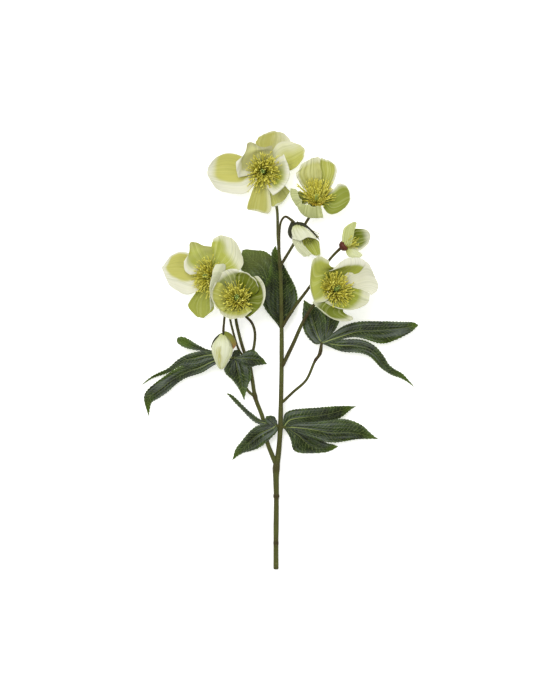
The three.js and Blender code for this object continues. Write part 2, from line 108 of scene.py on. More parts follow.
# Two skins, each half the thickness from a grid of points, with a wall all round. The value upper is 1 on
# the skin that the grid's normals point out of, and 0 on the other.
def thinSheet(points, thickness, uv, values):
    shape = points.shape[:2]
    lift = gridNormals(points) * (np.broadcast_to(thickness, shape) / 2)[..., None]
    top = np.arange(shape[0] * shape[1]).reshape(shape)
    low = top + top.size
    corners = (
        (top[:-1, :-1], top[1:, :-1], top[1:, 1:], top[:-1, 1:]),
        (low[:-1, :-1], low[:-1, 1:], low[1:, 1:], low[1:, :-1]),
        (top[:-1, 0], low[:-1, 0], low[1:, 0], top[1:, 0]),
        (top[:-1, -1], top[1:, -1], low[1:, -1], low[:-1, -1]),
        (top[0, :-1], top[0, 1:], low[0, 1:], low[0, :-1]),
        (top[-1, :-1], low[-1, :-1], low[-1, 1:], top[-1, 1:]),
    )
    both = {name: np.tile(np.broadcast_to(value, shape).ravel(), 2) for name, value in values.items()}
    both["upper"] = np.repeat([1.0, 0.0], top.size)
    return {
        "points": np.vstack([(points + lift).reshape(-1, 3), (points - lift).reshape(-1, 3)]),
        "quads": np.vstack([np.stack(four, -1).reshape(-1, 4) for four in corners]),
        "tris": np.zeros((0, 3), int),
        "uv": np.tile(uv.reshape(-1, 2), (2, 1)),
        "values": both,
    }


# Round tubes along paths. paths is (tubes, rows, 3); radii spreads out to (tubes, rows, sides).
# A ring of points lies square to each path around a side that leans on the reference, and both ends
# close in a fan. UV runs round and along the tube, in tens of millimetres along.
def tubes(paths, radii, sides, reference, values):
    count, rows = paths.shape[:2]
    tangent = unit(np.gradient(paths, axis=1))
    reference = np.broadcast_to(reference, (count, 3))[:, None]
    side = unit(reference - np.sum(reference * tangent, -1, keepdims=True) * tangent)
    over = np.cross(tangent, side)
    angle = np.linspace(0, fullTurn, sides, endpoint=False)
    ring = side[:, :, None] * np.cos(angle)[:, None] + over[:, :, None] * np.sin(angle)[:, None]
    points = paths[:, :, None] + ring * np.broadcast_to(radii, (count, rows, sides))[..., None]
    index = np.arange(count * rows * sides).reshape(count, rows, sides)
    after = np.roll(index, -1, axis=2)
    first = index.size + np.arange(count)[:, None] + np.zeros(sides, int)
    last = first + count
    run = runAlong(paths, 1)
    uv = np.stack(np.broadcast_arrays(angle / fullTurn, run[..., None] / 10), -1).reshape(-1, 2)
    ends = np.stack([np.full(count * 2, 0.5), run[:, [0, -1]].T.ravel() / 10], -1)
    values = {name: np.broadcast_to(value, (count, rows)) for name, value in values.items()}
    return {
        "points": np.vstack([points.reshape(-1, 3), paths[:, 0], paths[:, -1]]),
        "quads": np.stack([index[:, :-1], after[:, :-1], after[:, 1:], index[:, 1:]], -1).reshape(-1, 4),
        "tris": np.vstack([np.stack([first, after[:, 0], index[:, 0]], -1).reshape(-1, 3),
                           np.stack([last, index[:, -1], after[:, -1]], -1).reshape(-1, 3)]),
        "uv": np.vstack([uv, ends]),
        "values": {name: np.concatenate([np.repeat(value.ravel(), sides), value[:, 0], value[:, -1]])
                   for name, value in values.items()},
    }


# UV of each face's corners. Where a face closes a tube, x goes on past 1 and doesn't jump back to 0.
def seamless(corners):
    x = corners[..., :1]
    return corners + (x.max(axis=1, keepdims=True) - x > 0.5) * (1, 0)


# A new object that holds this data, linked into the scene.
def addObject(name, data):
    obj = bpy.data.objects.new(name, data)
    bpy.context.scene.collection.objects.link(obj)
    return obj


# A piece of the plant: its mesh, its material and the frame's nodes that it stands for.
def addPiece(name, part, material, nodes=()):
    mesh = bpy.data.meshes.new(name)
    faces = [*part["quads"].tolist(), *part["tris"].tolist()]
    mesh.from_pydata((part["points"] * millimetre).tolist(), [], faces)
    mesh.polygons.foreach_set("use_smooth", np.ones(len(faces), bool))
    uv = np.concatenate([seamless(part["uv"][part[kind]]).ravel() for kind in ("quads", "tris")])
    mesh.uv_layers.new(name="UVMap").data.foreach_set("uv", uv)
    for valueName, value in part["values"].items():
        mesh.attributes.new(valueName, "FLOAT", "POINT").data.foreach_set("value", value.astype(np.float32))
    mesh.materials.append(material)
    obj = addObject(name, mesh)
    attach(obj, "root")
    if nodes:
        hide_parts(*nodes)


# An sRGB hex colour as linear red, green, blue and 1.
def toLinear(hexColour):
    parts = [int(hexColour[i:i + 2], 16) / 255 for i in (0, 2, 4)]
    return (*[p / 12.92 if p <= 0.04045 else ((p + 0.055) / 1.055) ** 2.4 for p in parts], 1)


# Adds one node with its settings and links. An input is a value, a hex colour, or a node or socket to link
# from. An underscore in its name stands for a space, and x0, x1, x2 are inputs by number.
def addNode(tree, kind, settings=(), **inputs):
    made = tree.nodes.new("ShaderNode" + kind)
    for name, value in dict(settings).items():
        setattr(made, name, value)
    for name, value in inputs.items():
        socket = made.inputs[int(name[1:]) if name[1:].isdigit() else name.replace("_", " ")]
        if isinstance(value, bpy.types.Node):
            value = next(output for output in value.outputs if output.enabled)
        if isinstance(value, bpy.types.NodeSocket):
            tree.links.new(value, socket)
        else:
            socket.default_value = toLinear(value) if isinstance(value, str) else value
    return made


# A material with an empty node tree, and the function that adds a node to that tree.
def newMaterial(name):
    material = bpy.data.materials.new(name)
    material.use_nodes = True
    material.node_tree.nodes.clear()
    return material, partial(addNode, material.node_tree)


# The end of a tree: relief under the colour, and the shader whose surface is the material's. Plant tissue
# is a little less dense than plastic, so its IOR is 1.42 to 1.45, and its cells scatter most of the shine.
def finishTissue(node, relief, **shading):
    shader = node("BsdfPrincipled", Normal=node("Bump", **relief), **shading)
    node("OutputMaterial", Surface=shader)


# What a Math node does. Those with within in their names keep their result between 0 and 1.
plus, times, dividedBy, timesPlus, greater, squareRoot, upAndDown = (
    {"operation": kind}
    for kind in ("ADD", "MULTIPLY", "DIVIDE", "MULTIPLY_ADD", "MAXIMUM", "SQRT", "PINGPONG"))
plusWithin, minusWithin, timesWithin = (
    {"operation": kind, "use_clamp": True} for kind in ("ADD", "SUBTRACT", "MULTIPLY"))
smooth = {"interpolation_type": "SMOOTHSTEP"}
flat = {"noise_dimensions": "2D"}  # a pattern on the UV, drawn out along a blade or a stem
ownUV = {"uv_map": "UVMap"}

# Sepal tissue: soft, waxy and a little matt. The eye sees pale olive in the middle, cream at the margin,
# green where the sepal is joined on, a paler outer face, and fine veins that run from foot to tip. The green
# at the foot is deepened as painted shade under the stamens, dull olive is painted shade on faces turned
# from the light and towards tips, and light and dark streaks are painted highlights and shade on pleats.
sepalFinish = {
    "middle": "c3bf69",
    "green": "a6ae4a",
    "deep": "6e7927",
    "foot": "687317",
    "margin": "e2e1cd",
    "outside": "dcdec2",
    "outsideFoot": "b2b966",
    # painted shade on faces turned from the light
    "dull": "8a8743",
    # painted highlight on the pleats' crests, and painted shade in their hollows
    "light": "e4e7a6",
    "dark": "8a923c",
    "vein": "87954a",
    "veinShare": 0.2,
    "roughness": 0.55,
}


def sepalTissue(name, look):
    material, node = newMaterial(name)
    cream, along, upper, tone, dull, flush, streak = (
        node("Attribute", {"attribute_name": value}).outputs["Fac"]
        for value in ("cream", "along", "upper", "tone", "dull", "flush", "streak"))
    uv = node("UVMap", ownUV)
    place = node("TexCoord").outputs["Object"]
    # olive that turns green up to a tone of 1, and deep green from there to 2
    greenShare = node("Math", plusWithin, x0=tone, x1=0.0)
    green = node("MixRGB", Fac=greenShare, Color1=look["middle"], Color2=look["green"])
    deepShare = node("Math", minusWithin, x0=tone, x1=1.0)
    deep = node("MixRGB", Fac=deepShare, Color1=green, Color2=look["deep"])
    # painted shade: dull olive mixed in where the sepal faces away from the light, and towards its tip
    middle = node("MixRGB", Fac=dull, Color1=deep, Color2=look["dull"])
    # the foot's own green, deepened as painted shade where the stamens overhang it
    footMask = node("MapRange", smooth, Value=along, From_Min=0.42, From_Max=0.02)
    footed = node("MixRGB", Fac=footMask, Color1=middle, Color2=look["foot"])
    # the cream margin, uneven by blotches about 11 mm across
    blotch = node("TexNoise", Vector=place, Scale=90.0, Detail=2.0)
    uneven = node("Math", timesPlus, x0=blotch, x1=0.5, x2=-0.25)
    creamSpread = node("Math", times, x0=node("Math", plusWithin, x0=cream, x1=uneven), x1=cream)
    creamShare = node("Math", squareRoot, x0=creamSpread)
    inner = node("MixRGB", Fac=creamShare, Color1=footed, Color2=look["margin"])
    outerShare = node("Math", greater, x0=footMask, x1=flush)
    outer = node("MixRGB", Fac=outerShare, Color1=look["outside"], Color2=look["outsideFoot"])
    face = node("MixRGB", Fac=upper, Color1=outer, Color2=inner)
    # painted highlights on pleats that catch the light, and painted shade in the hollows beside
    # them, 2 to 3 mm apart
    folds = node("TexNoise", flat, Scale=1.0, Detail=4.0, Roughness=0.6, Distortion=0.35,
                 Vector=node("Mapping", Vector=uv, Scale=(14, 1.3, 1)))
    pleatHighlight = node("MapRange", Value=folds, From_Min=0.53, From_Max=0.72, To_Max=0.5)
    pleatShade = node("MapRange", Value=folds, From_Min=0.46, From_Max=0.3, To_Max=0.45)
    # veins about 1.2 mm apart across a 35 mm sepal, drawn out along it
    veins = node("TexNoise", flat, Scale=1.0, Detail=3.0, Roughness=0.6,
                 Vector=node("Mapping", Vector=uv, Scale=(34, 1.6, 1)))
    vein = node("MapRange", Value=veins, From_Min=0.48, From_Max=0.68)
    for mask, strength, colour in ((pleatHighlight, streak, "light"), (pleatShade, streak, "dark"),
                                   (vein, look["veinShare"], "vein")):
        share = node("Math", times, x0=mask, x1=strength)
        face = node("MixRGB", Fac=share, Color1=face, Color2=look[colour])
    finishTissue(node, dict(Strength=0.25, Distance=0.0004, Height=veins), Base_Color=face,
                 Roughness=look["roughness"], IOR=1.42, Specular_IOR_Level=0.16)
    return material


# Leaf tissue: leathery and satin. The eye sees dark green between fine pale veins, a grey glaze in strips
# near the stalk and along the folds, partly the leaf's own grey and partly painted sheen, and yellow-green
# at the tips and edges. The underside is paler.
leafFinish = {
    "blade": "28390f",
    "deep": "0b1304",
    "glaze": "737b76",
    "tip": "5f7a20",
    "vein": "a3b06c",
    "netShare": 0.1,
    "sideShare": 0.62,
    "underside": "7b8648",
    "roughness": (0.32, 0.52),
}


def leafTissue(name, look):
    material, node = newMaterial(name)
    phase, midrib, along, upper, glaze, rim = (
        node("Attribute", {"attribute_name": value}).outputs["Fac"]
        for value in ("veinPhase", "midrib", "along", "upper", "glaze", "rim"))
    place = node("TexCoord").outputs["Object"]
    blotch = node("TexNoise", Vector=place, Scale=85.0, Detail=4.0)
    blotchMask = node("MapRange", Value=blotch, From_Min=0.36, From_Max=0.66)
    blade = node("MixRGB", Fac=blotchMask, Color1=look["deep"], Color2=look["blade"])
    tipMask = node("MapRange", smooth, Value=along, From_Min=0.68, From_Max=1.0, To_Max=0.58)
    rimShare = node("Math", times, x0=rim, x1=blotchMask)
    # the glaze, grey colour with painted sheen, lies in strips about 2 mm wide that run along the leaflet
    strips = node("TexNoise", flat, Scale=1.0, Detail=4.0, Roughness=0.6,
                  Vector=node("Mapping", Vector=node("UVMap", ownUV), Scale=(9, 2.2, 1)))
    stripMask = node("MapRange", Value=strips, From_Min=0.42, From_Max=0.66)
    # the net of small veins between the side veins, about 2.4 mm across
    net = node("MapRange", From_Min=0.1, From_Max=0.02,
               Value=node("TexVoronoi", {"feature": "DISTANCE_TO_EDGE"}, Vector=place, Scale=420.0))
    # the side veins stand where the phase is whole, and a noise makes them wander a little
    wander = node("TexNoise", Vector=place, Scale=260.0, Detail=2.0)
    wandering = node("Math", timesPlus, x0=wander, x1=1.5, x2=phase)
    saw = node("Math", upAndDown, x0=wandering, x1=0.5)
    side = node("MapRange", smooth, Value=saw, From_Min=0.1, From_Max=0.0)
    sideShare = node("Math", times, x0=node("Math", times, x0=side, x1=blotch), x1=look["sideShare"])
    # the midrib is widest where the leaflet leaves the stalk
    nearStalk = node("MapRange", Value=along, From_Min=0.35, From_Max=0.0, To_Min=0.45, To_Max=1.1)
    ribFade = node("MapRange", Value=along, From_Min=0.1, From_Max=0.45, To_Min=0.95, To_Max=0.24)
    rib = node("MapRange", smooth, Value=node("Math", dividedBy, x0=midrib, x1=nearStalk),
               From_Min=1.0, From_Max=0.3, To_Max=ribFade)
    face = blade
    for share, colour in (
        (node("Math", greater, x0=tipMask, x1=rimShare), "tip"),
        (node("Math", timesWithin, x0=glaze, x1=stripMask), "glaze"),
        (node("Math", times, x0=net, x1=look["netShare"]), "vein"),
        (sideShare, "vein"),
        (rib, "vein"),
    ):
        face = node("MixRGB", Fac=share, Color1=face, Color2=look[colour])
    under = node("MixRGB", Fac=sideShare, Color1=look["underside"], Color2=look["vein"])
    low, high = look["roughness"]
    height = node("Math", plus, x0=side, x1=net)
    finishTissue(node, dict(settings={"invert": True}, Strength=0.6, Distance=0.0005, Height=height),
                 Base_Color=node("MixRGB", Fac=upper, Color1=under, Color2=face),
                 Roughness=node("MapRange", Value=blotch, To_Min=low, To_Max=high),
                 IOR=1.45, Specular_IOR_Level=0.12)
    return material


# Stem bark: smooth, green and a little ribbed. The eye sees olive with brown-purple where it has aged,
# fine darker streaks along it and short pale flecks.
stemFinish = {"green": "505427", "brown": "3a2c1b", "streak": "3f4120", "fleck": "7d7c48", "roughness": 0.5}


def stemBark(name, look):
    material, node = newMaterial(name)
    aged = node("Attribute", {"attribute_name": "aged"}).outputs["Fac"]
    place = node("TexCoord").outputs["Object"]
    # about ten ribs round the stem, drawn out along it
    ribs = node("TexNoise", flat, Scale=1.0, Detail=3.0,
                Vector=node("Mapping", Vector=node("UVMap", ownUV), Scale=(11, 0.5, 1)))
    blotch = node("TexNoise", Vector=place, Scale=70.0, Detail=3.0)
    flecks = node("TexNoise", Vector=place, Scale=700.0, Detail=1.0)
    uneven = node("Math", timesPlus, x0=blotch, x1=1.2, x2=-0.6)
    agedShare = node("Math", plusWithin, x0=aged, x1=uneven)
    bark = node("MixRGB", Fac=agedShare, Color1=look["green"], Color2=look["brown"])
    streakMask = node("MapRange", Value=ribs, From_Min=0.5, From_Max=0.75, To_Max=0.7)
    streaked = node("MixRGB", Fac=streakMask, Color1=bark, Color2=look["streak"])
    fleckMask = node("MapRange", Value=flecks, From_Min=0.62, From_Max=0.75, To_Max=0.5)
    finishTissue(node, dict(Strength=0.4, Distance=0.0004, Height=ribs),
                 Base_Color=node("MixRGB", Fac=fleckMask, Color1=streaked, Color2=look["fleck"]),
                 Roughness=look["roughness"], IOR=1.45, Specular_IOR_Level=0.14)
    return material


# Flower parts with one colour at the foot and one at the end: stamens, carpels, nectaries, bracts.
# The eye sees soft tissue, uneven in colour from piece to piece. The grain is in marks to the metre.
def gradedTissue(name, foot, end, varied, roughness, grain=400.0):
    material, node = newMaterial(name)
    along, vary = (node("Attribute", {"attribute_name": value}).outputs["Fac"]
                   for value in ("along", "vary"))
    speckle = node("TexNoise", Vector=node("TexCoord").outputs["Object"], Scale=grain, Detail=3.0)
    graded = node("MixRGB", Fac=along, Color1=foot, Color2=end)
    uneven = node("Math", timesPlus, x0=speckle, x1=0.8, x2=-0.4)
    varyShare = node("Math", plusWithin, x0=vary, x1=uneven)
    coloured = node("MixRGB", Fac=varyShare, Color1=graded, Color2=varied)
    finishTissue(node, dict(Strength=0.3, Distance=0.0003, Height=speckle), Base_Color=coloured,
                 Roughness=roughness, IOR=1.42, Specular_IOR_Level=0.3)
    return material


sepalMaterial = sepalTissue("waxySepal", sepalFinish)
leafMaterial = leafTissue("leatheryLeaf", leafFinish)
stemMaterial = stemBark("ribbedStem", stemFinish)
# green filaments that end in dusty yellow anthers
stamenMaterial = gradedTissue("powderyStamen", "7d8314", "f4ef79", "c6bb2b", 0.6)
# the same before they ripen, painted dark olive as the shade inside the bud
shadedTuftMaterial = gradedTissue("unripeStamenInShade", "4c561c", "5f6a22", "a3a23e", 0.6)
# smooth pods, blue-green below and paler along the styles
carpelMaterial = gradedTissue("smoothCarpel", "7f9a3f", "b9d27e", "8aa653", 0.4)
# small wet horns, green at the foot and honey at the mouth
nectaryMaterial = gradedTissue("glossyNectary", "8a9a35", "d8c04a", "c79a2c", 0.35)
# tough bracts, almost black green
bractMaterial = gradedTissue("darkBract", "2a2c17", "454423", "191c10", 0.45, 200.0)
# a dull wine-red cup
calyxMaterial = gradedTissue("redCalyx", "4a2019", "6a3426", "331712", 0.45, 250.0)
# a withered bract that turns from olive to rust
rustBractMaterial = gradedTissue("rustBract", "747f33", "9c4f38", "7f7a34", 0.5, 200.0)
# the plain green seat under the flower
receptacleMaterial = gradedTissue("greenReceptacle", "616b22", "6f7a28", "4b541c", 0.5)
print("materials made")


# Points are (x, y, z, radius). Swellings stand at a height y: (y, how far they stand out, how long). The
# bark makes a stem fuller than its core by a share and by its own millimetres, and stays clear of the
# ground. The thickness varies about once in bulgeLength millimetres, and the aged patches in patchLength.
stemLook = {
    "rowLength": 1.3,
    "sides": 18,
    "ribs": 5,
    "ribDepth": 0.035,
    "unevenness": 0.05,
    "bulgeLength": 60,
    "patchLength": 45,
    "patches": 0.25,
    "fuller": 1.03,
    "bark": 0.12,
    "cutEnd": 0.93,
    "clearance": 0.05,
}
stems = {
    "main_stem": [
        (-4, -218.8, 2.4, 2.4), (-4, -193, 2.7, 2.35), (-3.6, -148, 3.6, 2.4), (-3.7, -118, 5, 3),
        (-1.6, -104, 6.4, 2.5), (0.3, -80, 8.6, 2.4), (0.9, -55, 10, 2.1), (1.6, -17, 12, 2.1),
        (1.6, 23, 13.5, 1.9), (0.6, 75, 14.5, 1.6), (-2, 112, 14, 1.3), (-3.6, 144, 11, 1.2),
        (-11, 164, 8, 1.2), (-15.98, 177.8, 11.48, 1.5),
    ],
    "left_branch": [
        (-4.5, -113, 5.2, 2.2), (-13, -91, 7, 2), (-17.2, -68, 9, 1.9), (-24.6, -47.5, 11, 1.8),
        (-28, -27, 12.5, 1.8), (-31, -12, 13.5, 1.7), (-35.8, -1.5, 14, 1.5), (-43, 25, 14, 1.4),
        (-47, 50, 13, 1.3), (-56, 66, 13, 1.3), (-66.99, 72.82, 18.08, 1.5),
    ],
    "pedicel_cup_flower": [
        (-30.5, -12, 14, 1.3), (-26, 3, 16, 1.3), (-25, 17.6, 18, 1.2), (-28, 27, 18.5, 1.2),
        (-35, 35, 18.5, 1.2), (-41.35, 48.04, 20.79, 1.3), (-41.65, 48.94, 23.63, 1.5),
    ],
    "pedicel_hanging_bud": [
        (-34.5, -8, 14, 1.1), (-40.6, -0.5, 16, 1), (-48.5, 25, 19, 1), (-51, 36, 21.5, 1),
        (-54, 36.5, 25, 1), (-55.8, 25, 31, 1), (-56.3, 17.6, 32.5, 1.2),
    ],
    "pedicel_right_flower": [
        (2.4, -16, 12.5, 1.9), (13, 6, 16.5, 1.7), (23, 28, 20, 1.6), (34, 45, 22, 1.5),
        (50.94, 56.7, 21.49, 1.5), (52.56, 57.92, 24.94, 1.6),
    ],
    "pedicel_opening_bud": [
        (2, 23, 14, 1.6), (14, 42, 17, 1.4), (27.7, 60.4, 18.5, 1.3), (42, 80, 20, 1.2), (52, 93, 23, 1.2),
        (60.96, 101.89, 26.11, 1.4),
    ],
    "pedicel_upper_right_flower": [
        (0.6, 84, 15, 1.3), (13, 104.5, 15, 1.3), (25.3, 126, 13, 1.2), (30, 134, 12.5, 1.2),
        (35.82, 147.41, 16.83, 1.4),
    ],
    "pedicel_nodding_bud": [
        (-0.6, 98, 15.8, 1), (-0.6, 116, 20, 1), (1.2, 128, 24, 1), (5.2, 132.5, 27, 1),
        (10.6, 129.5, 30, 1.2), (13.69, 126.53, 30.64, 1.6),
    ],
}


# A stem: rings along the curve through its points, with ribs, slow unevenness and swellings at its nodes.
def stemPart(points, swellings=(), aged=(0.2, 0.6), look=stemLook, seed=1):
    points = np.array(points, float)
    t = np.linspace(0, 1, 400)
    run = runAlong(throughPoints(points[:, :3], t))
    length = run[-1]
    share = np.linspace(0, 1, max(12, int(length / look["rowLength"])))
    t = np.interp(share * length, run, t)
    path = throughPoints(points[:, :3], t)
    radius = np.interp(t, np.linspace(0, 1, len(points)), points[:, 3])
    radius = radius * (1 + look["unevenness"] * wavyLine(share, length / look["bulgeLength"], seed))
    radius = radius * look["fuller"] + look["bark"]
    patches = look["patches"] * wavyLine(share, length / look["patchLength"], seed + 5)
    age = np.interp(share, (0, 1), aged) + patches
    for y, height, width in swellings:
        radius = radius + height * np.exp(-((path[:, 1] - y) / width) ** 2)
        age = age + 0.5 * np.exp(-((path[:, 1] - y) / (width * 1.5)) ** 2)
    radius[[0, -1]] *= look["cutEnd"]
    path[:, 2] = np.maximum(path[:, 2], radius * (1 + look["ribDepth"]) + look["clearance"])
    angle = np.linspace(0, fullTurn, look["sides"], endpoint=False)
    ribs = 1 + look["ribDepth"] * np.cos(look["ribs"] * angle + 2 * share[:, None] + seed)
    tangent = unit(np.gradient(path, axis=0))
    reference = np.eye(3)[np.argmin(np.abs(tangent).max(axis=0))]
    return tubes(path[None], (radius[:, None] * ribs)[None], look["sides"], reference, {"aged": age})


# The two stems that have swellings at their nodes. The others have aged more.
stemNodes = {
    "main_stem": dict(aged=(0.15, 0.1), swellings=(
        (-193, 0.25, 1.5), (-146, 0.7, 1.6), (-118, 0.5, 5), (-77, 0.5, 3), (84, 0.5, 3))),
    "left_branch": dict(aged=(0.1, 0.5), swellings=((-46, 0.5, 2.5), (-10, 0.5, 3))),
}
for i, (name, points) in enumerate(stems.items()):
    look = stemNodes.get(name, dict(aged=(0.5, 0.7)))
    addPiece(name.replace("_", "."), stemPart(points, seed=i + 1, **look), stemMaterial, [name])
print("stems made")


# Weights that carry the values at evenly spaced knots to t, from 0 to 1, along the natural cubic spline:
# between two knots it is a y0 + b y1 + ((a^3 - a) m0 + (b^3 - b) m1) / 6, where b is the share of the way,
# a is 1 - b, and the bends m solve m0 + 4 m1 + m2 = 6 (y0 - 2 y1 + y2) with none at the ends.
def splineWeights(count, t):
    knots = np.eye(count)
    known = np.eye(count)
    asked = np.zeros((count, count))
    for i in range(1, count - 1):
        known[i, i - 1:i + 2] = (1, 4, 1)
        asked[i, i - 1:i + 2] = (6, -12, 6)
    bends = np.linalg.solve(known, asked)
    place = t * (count - 1)
    i = np.clip(place.astype(int), 0, count - 2)
    b = (place - i)[..., None]
    a = 1 - b
    return a * knots[i] + b * knots[i + 1] + ((a**3 - a) * bends[i] + (b**3 - b) * bends[i + 1]) / 6


# A blade: rows of points from foot to tip, each from the right edge to the left. The surface is the spline
# across each row and then the spline through the rows. u runs from 0 to 1 and v from -1 to 1.
def surfaceThrough(rows, u, v):
    widest = max(len(row) for row in rows)
    even = np.linspace(0, 1, widest)
    knots = np.array([splineWeights(len(row), even) @ np.array(row, float) for row in rows])
    along, across = splineWeights(len(rows), u), splineWeights(widest, (v + 1) / 2)
    return np.einsum("rci,rcj,ijk->rck", along, across, knots)


# Grid lines for a blade: u spaced evenly along its middle, v closer together at the edges.
def bladeGrid(rows, count, columns):
    fine = np.linspace(0, 1, 300)[:, None]
    run = runAlong(surfaceThrough(rows, fine, np.zeros_like(fine))[:, 0])
    u = np.interp(np.linspace(0, run[-1], count), run, fine[:, 0])
    v = np.linspace(-1, 1, columns)
    v = 0.7 * v + 0.3 * np.sin(v * math.pi / 2)
    return np.meshgrid(u, v, indexing="ij")


# How far each point of a grid is from its first row, its last row, its right edge and its left edge.
def gridDistances(points):
    along, across = runAlong(points, 0), runAlong(points, 1)
    return along, along[-1:] - along, across, across[:, -1:] - across


# UV of a blade: its width is 1 across, and 100 mm are 1 along.
def bladeUV(u, v, length):
    return np.stack([(v + 1) / 2, u * length / 100], -1)


# A wavy line for each side of a blade, the left one from the seed and the right one from the next.
def sideWaves(u, v, waves, seed):
    return np.where(v > 0, wavyLine(u, waves, seed), wavyLine(u, waves, seed + 1))


# A sepal: its rows of points, with a foot that is foot wide. Its edge wanders by wander of its half width,
# its corners are cut round by corner, and it waves up and down by ruffle near the edge and by pleats near
# the foot, both in millimetres. Its cream margin is as wide as margin says: left edge, right edge and
# tip; pale is how much cream is mixed in all over. dull is how much painted shade darkens the whole sepal,
# and paintedTipShade how much more painted shade darkens the tip, and over what length. streak is how
# strongly the painted highlights and shade of the pleats show. The green of the foot, deepened as painted
# shade under the stamens, runs out over greenLength times paint.
sepalLook = {
    "lines": 46,
    "columns": 37,
    "thickness": 0.5,
    "foot": 7,
    "wander": 0.025,
    "corner": 0.05,
    "tipWave": 0.02,
    "ruffle": 0.5,
    "waves": 2.2,
    "pleats": 0.2,
    "pleatCount": 4.5,
    "margin": (3, 3, 4),
    "soft": 0.55,
    "pale": 0.0,
    "creamFrom": (2, 10),
    "creamMost": 1.0,
    "streak": 0.2,
    "dull": 0.0,
    "paintedTipShade": (0.0, 6),
    "flush": 0.0,
    "tone": 0.5,
    "greenLength": 40,
    "paint": 1.0,
    "outerUp": False,
}
leastMargin, leastDistance = 0.02, 0.05  # keep the sum of margins finite where one is 0, and at the edges


# A sepal's margin is where the sum of (distance / margin)^-4 over its three edges is above 1.
def sepalPart(rows, look, seed):
    look = {**sepalLook, **look}
    u, v = bladeGrid(rows, look["lines"], look["columns"])
    away = np.abs(v)
    tipLine = wavyLine(v, 0.9, seed + 4)
    uBent = u * (1 - look["corner"] * away**5 * u**3) + look["tipWave"] * tipLine * u**5
    edge = sideWaves(u, v, look["waves"], seed)
    points = surfaceThrough(rows, uBent, v * (1 + look["wander"] * edge * blendStep(0.1, 0.4, u)))
    lift = look["ruffle"] * away**3 * sideWaves(u, v, look["waves"], seed + 2) * blendStep(0, 0.3, u)
    lift += look["ruffle"] * 0.7 * blendStep(0.6, 1, u) * tipLine
    folds = np.cos(look["pleatCount"] * math.pi * v + wavyLine(u, 1, seed + 5))
    lift += look["pleats"] * folds * blendStep(0, 0.2, u) * (1.15 - u)
    points = points + gridNormals(points) * lift[..., None]
    fromFoot, fromTip, fromRight, fromLeft = gridDistances(points)
    near = np.stack([fromLeft, fromRight, fromTip], -1) + leastDistance
    near = (near / np.maximum(look["margin"], leastMargin)) ** -4.0
    share = near.sum(axis=-1)
    softness = (near * look["soft"]).sum(axis=-1) / share
    cream = look["creamMost"] * (1 - blendStep(1 - softness, 1 + softness, share ** -0.25))
    # painted shade over the whole sepal, and more of it towards the tip
    paintedTipShade, tipLength = look["paintedTipShade"]
    part = thinSheet(points, look["thickness"] * (1 - 0.5 * away**4), bladeUV(u, v, fromFoot[-1].mean()), {
        "cream": np.maximum(cream, look["pale"]) * blendStep(*look["creamFrom"], fromFoot),
        "along": np.clip(fromFoot / look["greenLength"] / look["paint"], 0, 1),
        "tone": look["tone"],
        "dull": look["dull"] + paintedTipShade * (1 - blendStep(0, 2 * tipLength, fromTip)),
        "flush": look["flush"],
        "streak": look["streak"],
    })
    if look["outerUp"]:
        part["values"]["upper"] = 1 - part["values"]["upper"]
    return part


